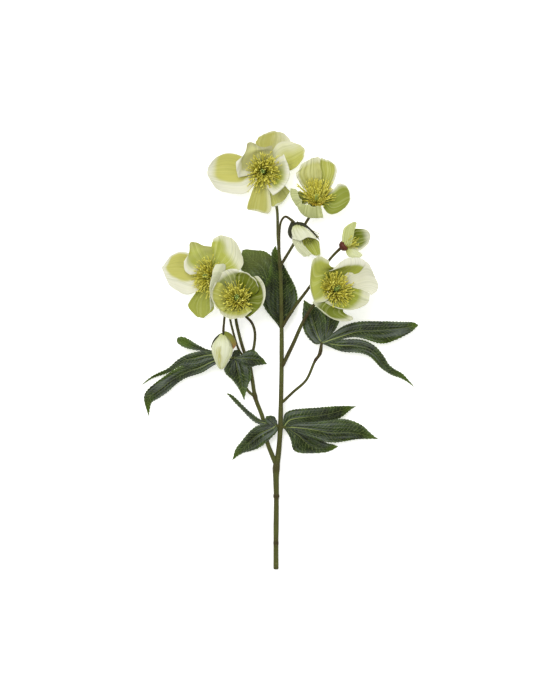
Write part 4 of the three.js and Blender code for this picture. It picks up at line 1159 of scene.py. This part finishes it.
# A bract: a small blade with one colour at the foot and one at the tip, its rows as a sepal's, thinner at
# its edges by the fourth power of v.
bracts = {
    "nodding_bud.bract.right": [
        [(13, 124.3, 32.5), (13.4, 125.2, 33.5), (13.8, 126.2, 32.5)],
        [(17.6, 124, 35.5), (17.6, 125.4, 36.2), (17.8, 126.8, 34.5)],
        [(22.6, 122.8, 37.5), (23, 124.3, 38), (23.5, 125.8, 36.5)],
        [(28, 119.9, 37.8), (28.6, 120.6, 38.2), (29.2, 121.2, 37.4)],
        [(33.5, 114.9, 36.2), (34, 115.4, 36.6), (34.5, 115.8, 36)],
        [(39.6, 108.4, 34.5)],
    ],
    "nodding_bud.bract.left": [
        [(10.8, 127, 31), (12.5, 126, 32.5), (14, 125, 33)],
        [(8.2, 120.5, 30), (10.5, 120.5, 33), (13.2, 121, 34)],
        [(7.9, 115.5, 30), (9.8, 115, 32.5), (12, 115, 33.5)],
        [(9.8, 111.7, 30.5), (10.8, 111.2, 31.5), (11.8, 111, 32)],
        [(11.8, 110, 31)],
    ],
    "hanging_bud.bract.left": [
        [(-57.2, 17.2, 33.5), (-56.8, 16.7, 34.3), (-56.4, 16.2, 34.8)],
        [(-62.5, 13.8, 35.5), (-62, 13.3, 36.6), (-61.5, 12.8, 37.2)],
        [(-66.4, 8.9, 35.5), (-65.9, 8.6, 36.4), (-65.4, 8.3, 37)],
        [(-68.4, 2.5, 35.2)],
    ],
    "hanging_bud.bract.middle": [
        [(-56.8, 17.4, 34.4), (-56, 17.6, 34.8), (-55.2, 17.4, 34.4)],
        [(-57, 16, 36), (-56.1, 15.9, 36.6), (-55.1, 16, 36)],
        [(-56.1, 14.2, 37.6)],
    ],
    "hanging_bud.bract.right": [
        [(-56.2, 16, 35.6), (-55.2, 17.3, 34.4), (-54.6, 18.6, 32.5)],
        [(-52.5, 12.8, 39.3), (-50.6, 14.8, 38), (-49.2, 16.5, 34.5)],
        [(-49.2, 8.5, 40.8), (-46.7, 10, 39), (-45, 11.3, 35.5)],
        [(-47.3, 4.8, 41), (-45, 5.2, 39), (-43.4, 5.6, 36.5)],
        [(-46.2, 1.2, 39)],
    ],
}
rustyBract = "hanging_bud.bract.right"


def bractPart(rows, count=30, columns=11, thickness=0.7):
    rows = withTip(rows)
    u, v = bladeGrid(rows, count, columns)
    points = surfaceThrough(rows, u, v)
    return thinSheet(points, thickness * (1 - 0.4 * v**4), bladeUV(u, v, 30), {"along": u**2.5, "vary": 0.2})


# Rows whose last one may be one point: that is drawn out by a tenth of a millimetre each way, as the row
# before it runs.
def withTip(rows):
    if len(rows[-1]) > 1:
        return rows
    way = unit(np.array(rows[-2][-1], float) - np.array(rows[-2][0], float))
    return [*rows[:-1], np.array(rows[-1], float) + way * np.array([[-0.1], [0], [0.1]])]


for name, rows in bracts.items():
    addPiece(name, bractPart(rows), rustBractMaterial if name == rustyBract else bractMaterial)


# The hanging bud: an egg turned about its axis, wrapped in sepals. Each sepal is the egg's own profile over
# a part of the turn, its width in degrees, lifted a little more than the one that it lies on, and starting
# that share of the way down the bud. Its edges stand out by edgeLift and wander by edgeWander degrees, and
# its folds run down it. The last one is the free edge of a sepal, and shows its inner face, greener in the
# middle and cream towards its sides.
hangingBud = {
    "centre": (-56.3, 17, 32.5),
    "axis": (-0.06, -1, 0),
    "profile": (
        (0.4, 0), (4.4, 1.6), (9.2, 8), (11, 14), (10, 21), (7, 27.5), (4.3, 33), (2.2, 35.7), (0.4, 36.4),
    ),
    "length": 36,
    "inset": 0.6,
    "edgeLift": 0.35,
    "edgeWander": 5,
    "folds": 0.22,
    "foldCount": 3.5,
    "wraps": (
        dict(middle=250, width=200, lift=0.1),
        dict(middle=160, width=150, lift=0.35),
        dict(middle=20, width=150, lift=0.5),
        dict(middle=85, width=110, lift=0.85),
        dict(middle=108, width=40, lift=1.0, start=0.4, inner=True),
    ),
}


def wrappedSepal(bud, seed, middle, width, lift, start=0.0, inner=False, rows=44, columns=34):
    centre, axis = placeOf(bud)
    share, v = np.meshgrid(np.linspace(0, 1, rows), np.linspace(-1, 1, columns), indexing="ij")
    t = start + (1 - start) * share
    profile = np.array(bud["profile"], float)
    spread = runAlong(profile)
    # the profile, smoothed by a short running mean
    fine = np.linspace(0, 1, 241)
    mean = np.ones(21) / 21
    radius, height = (
        np.interp(t, fine, np.convolve(np.pad(np.interp(fine, spread / spread[-1], side), 10, mode="edge"),
                                       mean, mode="valid")) for side in profile.T)
    narrowed = np.clip(np.sin(math.pi * (0.12 + 0.83 * share)) ** 0.6, 0.25, 1)
    edge = wavyLine(share, 1.5, seed)
    angle = np.radians(middle + width / 2 * v * narrowed + bud["edgeWander"] * edge * np.abs(v))
    radius += lift * np.sin(math.pi * np.clip(t, 0.02, 0.98)) ** 0.5 - bud["inset"]
    folds = np.cos(bud["foldCount"] * math.pi * v + 2 * edge) * (1 - share**2)
    radius += bud["edgeLift"] * v**4 + bud["folds"] * folds
    points = centre + axis * height[..., None] + ringAround(axis, angle) * radius[..., None]
    innerCream = 0.1 + 0.75 * np.maximum(np.abs(v) ** 2.5, (1 - share) ** 7)
    # painted shade dulls the whole bud a little, and its pleats get painted highlights and shade
    part = thinSheet(points[:, ::-1], 0.5, bladeUV(share, v, bud["length"]),
                     {"cream": innerCream if inner else 0.9, "along": 0.04 + t, "tone": 0.3, "dull": 0.2,
                      "flush": 0.5 * np.abs(v) ** 3 + 0.4 * t**4, "streak": 0.7})
    if not inner:
        part["values"]["upper"] = 1 - part["values"]["upper"]
    return part


wraps = [wrappedSepal(hangingBud, i, **wrap) for i, wrap in enumerate(hangingBud["wraps"])]
addPiece("hanging_bud.body", joinParts(wraps), sepalMaterial, ["hanging_bud_body"])

# The tufts inside the buds are a flower's stamens, fewer and steeper.
openingTuft = {**openingBud, "stamens": dict(
    count=34, length=(9, 15), elevation=(58, 88), collar=(0.6, 2.4), bend=1.5, radius=0.24,
    anther=(1.5, 0.36))}
noddingTuft = {**noddingBud, "centre": (26, 116, 29.5), "stamens": dict(
    count=60, length=(6, 10), elevation=(62, 88), collar=(0.8, 6.5), bend=1, anther=(1.6, 0.4))}
addPiece("opening_bud.stamens", stamensPart(openingTuft), stamenMaterial)
# the nodding bud's tuft is painted dark olive, for the shade inside the bud
addPiece("nodding_bud.stamens", stamensPart(noddingTuft, noddingSepals), shadedTuftMaterial)
print("buds made")


# Leaflets are blades with teeth that point forward, a channel along the midrib and blisters between the
# side veins. A tooth is a saw of its pitch along the edge, toothDepth deep. Side veins leave the midrib
# every veinPitch and sweep forward: a point's vein count is (its run - sweep times its distance from the
# midrib) / veinPitch. The left side's teeth and veins are staggered by a share of their pitch. green is how
# much sooner the tip's colour comes, and pale how much of the far half shows the underside's colour.
leafLook = {
    "thickness": 0.5,
    "foot": 2.6,
    "columns": 27,
    "rowLength": 0.55,
    "toothPitch": 3.2,
    "toothDepth": 0.85,
    "toothStagger": 0.37,
    "toothWander": 0.3,
    "veinPitch": 3.8,
    "veinStagger": 0.5,
    "sweep": 1.0,
    "blister": 0.45,
    "channel": 0.8,
    "channelWidth": 0.9,
    "ruffle": 0.9,
    "waves": 2.5,
    "glaze": 0.6,
    "glazeAndSheenPatches": 0.25,
    "glazeAndSheenEdge": 0.3,
    "clearance": 0.7,
    "green": 0.0,
    "pale": 0.0,
}
leaves = {
    "leaf_behind_stem": dict(hub=(1.1, 21.5, 11.2), stalk=[
        (1.4, 20, 12, 1), (1, 25, 10.2, 1), (0.4, 31, 9, 0.9),
    ], leaflets={
        "central": dict(glaze=0.1, rows=[
            [(6, 27.4, 9.4), (0.5, 28.4, 10.2), (-5, 28.4, 9.4)],
            [(12.5, 35.9, 7.6), (0, 37.4, 9), (-12.5, 36.9, 7)],
            [(17.6, 49.4, 5.5), (0.5, 49.9, 8.5), (-18.5, 49.9, 5)],
            [(14, 66.9, 5), (0, 66.9, 8), (-16, 66.9, 4.5)],
            [(5.5, 82.4, 4.5), (-1.5, 82.9, 6), (-10, 82.9, 4.5)],
            [(-0.5, 94.9, 3.5), (-3.5, 94.9, 4), (-9, 96.9, 3.5)],
            [(-4.5, 104.4, 2.5)],
        ]),
        "turned": dict(pale=0.45, glaze=0.15, rows=[
            [(-3, 44.9, 5), (-8, 46.9, 5.5), (-12, 44.9, 4.6)],
            [(-5, 68.9, 3), (-12, 65.9, 4.4), (-22, 60, 3)],
            [(-5, 87.9, 3.2), (-18, 81.9, 6), (-31, 72.9, 3.5)],
            [(-14, 98.4, 5), (-26.9, 89.8, 8.5), (-39.5, 80.4, 5)],
            [(-25, 99.7, 6), (-32.9, 97.3, 7.5), (-40, 87.9, 6.5)],
            [(-37.4, 99.9, 6)],
        ]),
    }),
    "leaf_upper_right": dict(hub=(41.5, 7, 18), stalk=[
        (2.6, -52, 10.6, 1.3), (13, -42, 12, 1.2), (26, -30, 14.5, 1.2), (35, -10.5, 17, 1.3),
        (39.5, -4, 17.8, 1.4), (41.5, 7.6, 18, 1.1),
    ], leaflets={
        "long": dict(rows=[
            [(52.8, 7.5, 18), (52.8, 11, 18), (52.8, 16.9, 18.5)],
            [(66.7, 11.7, 17), (66.2, 15.4, 17.5), (65.2, 25.4, 17.5)],
            [(81.7, 11.2, 15.5), (81.7, 18.9, 16.5), (80.7, 29, 16)],
            [(98.7, 6.2, 12.5), (97.7, 19.4, 14), (96.6, 29.1, 14.5)],
            [(112.7, 8.5, 11), (111.6, 20.9, 12.5), (110.6, 28.9, 13)],
            [(127.7, 15.5, 9.5), (125.7, 22.4, 10.5), (124.2, 28.6, 11)],
            [(134.7, 20.7, 9.2), (133.7, 24.9, 9.7), (132.5, 28.2, 9.8)],
            [(138.5, 24.9, 9)],
        ]),
        "drooping": dict(rows=[
            [(46.8, 4.2, 17), (48.3, 6.5, 17.2), (49.8, 8.5, 16.8)],
            [(60.3, -1.5, 15.3), (61.2, 4.5, 16.5), (62.8, 10.7, 15.3)],
            [(74.7, -3, 13.8), (75.2, 4.2, 15.3), (76.7, 11.4, 13.6)],
            [(88.1, -6.1, 11.5), (89.7, 0.5, 12.8), (90.7, 7, 11.3)],
            [(97.8, -15.5, 8.6), (99.8, -8.5, 9.6), (102.3, -3.5, 8.2)],
            [(104.8, -21.5, 5.8), (106.3, -17.5, 6.2), (108.8, -13.5, 5.6)],
            [(112.9, -26, 3.8), (114.4, -22.5, 4.2), (116.4, -19.5, 4)],
            [(121.9, -29.3, 2.2), (122.9, -27, 2.5), (123.9, -24.5, 2.2)],
            [(134.8, -37.3, 0.9)],
        ]),
        "upper_left": dict(rows=[
            [(45.8, 14.9, 17.2), (38.3, 12.9, 17), (33.4, 6.5, 16.6)],
            [(46.8, 25.9, 15), (34.4, 23.9, 15), (24.4, 16.9, 14.3)],
            [(43.9, 37.9, 12.6), (30.9, 35.9, 12.5), (21.9, 29.9, 12)],
            [(33.9, 44.4, 11), (27.4, 43.4, 10.8), (22.5, 40.9, 10.5)],
            [(23.8, 50.1, 10)],
        ]),
        "upper": dict(rows=[
            [(53.8, 17.9, 16.5), (46.3, 15.9, 16), (39.8, 14.9, 15.2)],
            [(59.8, 28.9, 14.2), (49.3, 27.9, 13), (36.9, 26.9, 12.2)],
            [(58.8, 37.4, 12.2), (49.9, 38.9, 11), (37.4, 38.9, 10.2)],
            [(50.9, 48.9, 10)],
        ]),
    }),
    "leaf_lower_right": dict(hub=(4.2, -77, 10.6), stalk=[
        (2.4, -77, 9.5, 1.4), (4, -77, 10, 1.3), (6, -77, 10.5, 1),
    ], leaflets={
        "upper": dict(glaze=0.3, rows=[
            [(13, -77.8, 10.6), (10, -69.8, 11), (5.5, -62.8, 10.5)],
            [(27.9, -76.8, 10), (23.9, -67.3, 11.5), (19, -58.2, 10)],
            [(44.9, -74.3, 9), (39.9, -65.3, 10.5), (34.9, -57.2, 9)],
            [(59.9, -68.4, 8.3), (55.9, -61.9, 9.3), (51.9, -55.9, 8.2)],
            [(69.4, -61.2, 7.8), (66.9, -58.4, 8), (63.4, -55.3, 7.6)],
            [(76.1, -56.2, 7.3)],
        ]),
        "middle": dict(glaze=0.5, rows=[
            [(15, -81.3, 11.8), (16, -77.3, 12.3), (16.9, -73.3, 12)],
            [(31.9, -87.7, 12), (33.9, -79.7, 13.5), (34.9, -71.3, 12.6)],
            [(49.9, -92.8, 9.8), (51.8, -82.3, 12), (52.8, -69.1, 11.6)],
            [(64.9, -91.1, 7.5), (67.8, -82.3, 9.4), (66.8, -68.6, 10)],
            [(78.9, -89.4, 5), (80.9, -83.9, 5.8), (81.4, -74.4, 6)],
            [(88.4, -89.2, 3), (88.9, -86.4, 3.2), (89.4, -81.4, 3.4)],
            [(98.1, -88.8, 1.8)],
        ]),
        "lower": dict(glaze=0.4, rows=[
            [(7.5, -83.3, 8.5), (11.5, -80.8, 9), (16, -79.8, 9)],
            [(11, -92.9, 6), (21, -87.8, 7), (30.9, -85.8, 7.2)],
            [(15.5, -101.9, 3.5), (30, -95.9, 4.8), (41.9, -89.9, 5.5)],
            [(33, -103.2, 2.5), (41, -98.4, 3.2), (48, -92.9, 3.8)],
            [(47.5, -102.2, 1.8), (50, -98.4, 2.2), (53, -93.9, 2.5)],
            [(58.3, -96.4, 1.6)],
        ]),
    }),
    "leaf_lower_left": dict(hub=(-4, -75, 13), stalk=[
        (-1.8, -76, 11.5, 1.2), (-3, -75.5, 12.5, 1.1), (-4.2, -75, 13, 0.9),
    ], leaflets={
        "narrow": dict(glaze=0.9, rows=[
            [(-15.9, -70.3, 13.2), (-16.9, -72.3, 12.8), (-17.9, -74.8, 13)],
            [(-24.3, -65.4, 13), (-25.4, -68.6, 12.6), (-26.4, -71.6, 13)],
            [(-34.5, -56.7, 12.8), (-36.4, -58.6, 12.5), (-38.1, -60.5, 12.8)],
            [(-45.7, -45.8, 12.8), (-47.6, -47.2, 12.5), (-49.3, -48.6, 12.8)],
            [(-52.8, -43.3, 12.8)],
        ]),
        "short": dict(glaze=0.9, rows=[
            [(-2, -73.7, 14.5), (-6, -73.2, 14.3), (-10, -75.7, 14.5)],
            [(-5.5, -66.1, 15), (-10.5, -68.2, 14.8), (-15.4, -71.2, 15)],
            [(-13.4, -66, 15.2)],
        ]),
        "large": dict(rows=[
            [(-13, -73.7, 13.8), (-8.5, -78.2, 14.4), (-2.5, -80.7, 13.3)],
            [(-22.4, -74.8, 12.5), (-17.9, -82.2, 13.5), (-8.5, -88.2, 11.5)],
            [(-31.9, -82.3, 10), (-27.4, -88.8, 11), (-17.5, -95.8, 8.5)],
            [(-38.9, -91.3, 7), (-34.9, -96.3, 7.5), (-28, -100.9, 5.5)],
            [(-44, -97.4, 4.5), (-41.5, -101.4, 4.8), (-37.5, -103.6, 3.5)],
            [(-47.9, -110.5, 1.6)],
        ]),
    }),
    "leaf_left": dict(hub=(-47, -8, 18), stalk=[
        (-26.5, -45.5, 12.5, 1.2), (-32, -40.5, 13, 1.2), (-40, -25, 15, 1.2), (-46, -10.5, 17, 1.2),
        (-47.2, -7.4, 18, 0.9),
    ], leaflets={
        "small": dict(green=0.45, rows=[
            [(-67.7, -0.5, 16.8), (-68.2, -2, 16), (-68.7, -3.5, 16.2)],
            [(-78.7, 4, 14.2), (-80.2, 1.2, 13.4), (-81.2, -1, 13.8)],
            [(-88.2, 9.5, 12.6), (-90.7, 5.5, 11.8), (-92.7, 1.2, 12.2)],
            [(-95.7, 13.4, 11.6), (-98.7, 9.5, 11.2), (-101.2, 5.5, 11.6)],
            [(-101.7, 13, 11.2), (-102.9, 10.5, 11), (-102.7, 8, 11.2)],
        ]),
        "narrow": dict(rows=[
            [(-67.7, -1.5, 17.6), (-68.2, -5, 17), (-68.7, -10.5, 16.8)],
            [(-82.7, -1.3, 15.4), (-82.4, -7.5, 14.8), (-81.2, -15.9, 14)],
            [(-95.7, -5.3, 12.8), (-95, -10.5, 12.3), (-93.7, -16.3, 12)],
            [(-105.2, -11.8, 9.6), (-104.3, -15.5, 9.1), (-102.8, -18.5, 9)],
            [(-113.8, -18.7, 6.8), (-113, -21.2, 6.3), (-111.8, -23.5, 6)],
            [(-126.9, -25, 4), (-126.6, -26.8, 3.8), (-126.1, -28.3, 3.6)],
            [(-138.3, -35.2, 2.5)],
        ]),
        "large": dict(rows=[
            [(-66.7, -7.5, 15.4), (-65.7, -11, 16), (-64.2, -14.4, 15.6)],
            [(-80.7, -10.5, 13.4), (-78.7, -16.9, 14.6), (-76.2, -22.2, 13.4)],
            [(-96.7, -14.8, 10.9), (-92.7, -21.9, 12), (-89.3, -26.7, 10.6)],
            [(-111.8, -23, 8.2), (-106.8, -29.4, 9.2), (-101.8, -33.4, 7.6)],
            [(-124.8, -32.5, 6), (-118.8, -38.4, 6.4), (-112.9, -42.7, 4.8)],
            [(-134.4, -41.5, 3.6), (-128.9, -46, 3.8), (-123.9, -50.3, 2.5)],
            [(-135.9, -51, 2), (-132.9, -54, 2), (-128.5, -54, 1.5)],
            [(-131, -66.9, 0.8)],
        ]),
        "down": dict(rows=[
            [(-50.8, -10.9, 19.5), (-43.8, -11.9, 19), (-33.8, -11.9, 19.5)],
            [(-56, -19.9, 19), (-42.3, -19.9, 18), (-28.9, -18.4, 18.6)],
            [(-49.5, -28.4, 18.4), (-39.8, -28.9, 17.6), (-28.1, -26.9, 18)],
            [(-42.8, -36.3, 17.5), (-37.8, -37.8, 16.8), (-31.2, -34.8, 17.2)],
            [(-35.6, -49.9, 16)],
        ]),
        "right": dict(rows=[
            [(-43.8, -10.9, 20.5), (-42.3, -8, 21), (-41.3, -6, 20.5)],
            [(-33.3, -16.9, 21), (-32.3, -8.9, 23), (-31.8, 0, 20.5)],
            [(-24.4, -16.2, 21), (-23.9, -9.4, 22.3), (-24.9, -0.5, 20.3)],
            [(-17.9, -15.2, 20.3), (-17.9, -10.4, 20.8), (-18.9, -6.3, 19.8)],
            [(-12.5, -13.9, 19.5)],
        ]),
        "tuft": dict(rows=[
            [(-41.3, -7, 17), (-44.3, -5, 17), (-47.8, -3, 17)],
            [(-38.8, -3, 17), (-41.8, -1.5, 17), (-45.3, 0, 17)],
            [(-40.3, 0.2, 17)],
        ]),
    }),
}


def leafletPart(hub, leaflet, seed):
    look = {**leafLook, **leaflet}
    rows = withTip(look["rows"])
    way = unit(np.array(rows[0][1]) - hub)
    over = unit(np.cross([0, 0, 1.0], way))
    rows = [hub + over * np.array([[-0.5], [0], [0.5]]) * look["foot"], *rows]
    middle = look["columns"] // 2
    u, v = bladeGrid(rows, 200, look["columns"])
    length = gridDistances(surfaceThrough(rows, u, v))[0][-1, middle]
    u, v = bladeGrid(rows, int(length / look["rowLength"]), look["columns"])
    away, left = np.abs(v), v > 0
    run, _, fromRight, fromLeft = gridDistances(surfaceThrough(rows, u, v))
    run, rightHalf = run[:, [middle]], fromRight[:, [middle]]
    half = np.where(left, fromRight + fromLeft - rightHalf, rightHalf)
    s = half * away
    saw = run / look["toothPitch"] + look["toothStagger"] * left
    saw = saw + look["toothWander"] * wavyLine(run / length, 3, seed)
    tooth = (1 - saw % 1) * look["toothDepth"] * blendStep(0.12, 0.3, u) * blendStep(0.3, 1.8, half)
    points = surfaceThrough(rows, u, v * (1 - tooth / np.maximum(half, 0.5)))
    phase = (run - look["sweep"] * s) / look["veinPitch"] + look["veinStagger"] * left
    lift = look["blister"] * np.abs(np.sin(math.pi * phase))
    lift *= blendStep(0, 2.5, s) * blendStep(0, 2, half - s)
    lift -= look["channel"] * np.exp(-((s / look["channelWidth"]) ** 2)) * blendStep(0, 0.05, u)
    edge = away**3 * blendStep(0.1, 0.4, u) * blendStep(0.5, 4, half)
    lift += look["ruffle"] * edge * sideWaves(u, v, look["waves"], seed + 2)
    points = points + gridNormals(points) * lift[..., None]
    points[..., 2] = np.maximum(points[..., 2], look["clearance"])
    # the grey glaze, partly the leaf's own colour and partly painted sheen, is strongest near the stalk
    glaze = look["glaze"] * (1.2 - 1.1 * u) + look["glazeAndSheenPatches"] * wavyLine(u, 1.5, seed)
    glaze += look["glazeAndSheenEdge"] * away**3
    part = thinSheet(points, look["thickness"] * (1 - 0.5 * away**3), bladeUV(u, v, length), {
        "veinPhase": phase,
        "midrib": s,
        "along": np.clip(u + look["green"] * u, 0, 1),
        "glaze": np.clip(glaze, 0, 1),
        "rim": away**6 * blendStep(0.1, 0.5, u),
    })
    part["values"]["upper"] *= 1 - look["pale"] * blendStep(0.35, 0.65, part["values"]["along"])
    return part


# A leaf's stalk swells into a sheath before the leaf: (y, how far it stands out, how long).
sheaths = {"leaf_upper_right": ((-9.5, 0.3, 1.1), (-1, 0.55, 5))}

for i, (name, leaf) in enumerate(leaves.items()):
    hub = np.array(leaf["hub"], float)
    blades = [leafletPart(hub, leaflet, seed=20 * i + 7 * k)
              for k, leaflet in enumerate(leaf["leaflets"].values())]
    piece = name.replace("_", ".")
    addPiece(piece, joinParts(blades), leafMaterial, [name])
    stalk = stemPart(leaf["stalk"], sheaths.get(name, ()), aged=(0.2, 0.4), seed=40 + i)
    addPiece(piece + ".stalk", stalk, stemMaterial)
print("leaves made")


# A level square under the plant.
def addFloor(size=12.0):
    mesh = bpy.data.meshes.new("floor")
    corners = [(-size, -size, 0), (size, -size, 0), (size, size, 0), (-size, size, 0)]
    mesh.from_pydata(corners, [], [(0, 1, 2, 3)])
    material, node = newMaterial("lightTable")  # opal glass lit from below: even white, soft faint shadows
    mottle = node("TexNoise", Vector=node("TexCoord").outputs["Object"], Scale=6.0, Detail=2.0)
    pale = node("MixRGB", Fac=mottle, Color1="f6f6f4", Color2="fafaf9")
    shader = node("BsdfPrincipled", Base_Color=pale, Roughness=0.9, Specular_IOR_Level=0.1,
                  Emission_Color="ffffff", Emission_Strength=0.45)
    node("OutputMaterial", Surface=shader)
    mesh.materials.append(material)
    floor = addObject("floor", mesh)


# A round soft light at a place, turned to face the middle of the plant.
def addSoftLight(name, place, size, power):
    light = bpy.data.lights.new(name, "AREA")
    light.shape, light.size, light.energy = "DISK", size, power
    lamp = addObject(name, light)
    lamp.location = place
    lamp.rotation_mode = "QUATERNION"
    lamp.rotation_quaternion = (-lamp.location).to_track_quat("-Z", "Y")


studio = {
    "sky": 0.55,
    "key": dict(place=(-0.6, 0.9, 2.6), size=1.8, power=48),
    "fill": dict(place=(1.8, -0.6, 1.8), size=1.6, power=8),
}

addFloor()
addSoftLight("key", **studio["key"])
addSoftLight("fill", **studio["fill"])
world = bpy.data.worlds.new("studio")
world.use_nodes = True
world.node_tree.nodes["Background"].inputs["Color"].default_value = (1, 1, 1, 1)
world.node_tree.nodes["Background"].inputs["Strength"].default_value = studio["sky"]
bpy.context.scene.world = world
bpy.context.scene.view_settings.view_transform = "Standard"

# The plant lies down, so the camera looks straight down on it from 4 m. At that distance a 36 mm film
# height behind this lens takes in 700 mm.
cameraHeight = 4.0
filmHeight = 36.0
viewHeight = 0.7
camera = addObject("camera", bpy.data.cameras.new("camera"))
camera.location = (0, 0, cameraHeight)
camera.data.sensor_width = filmHeight
camera.data.lens = filmHeight * cameraHeight / viewHeight
camera.data.clip_end = 50
bpy.context.scene.camera = camera
print("scene lit")
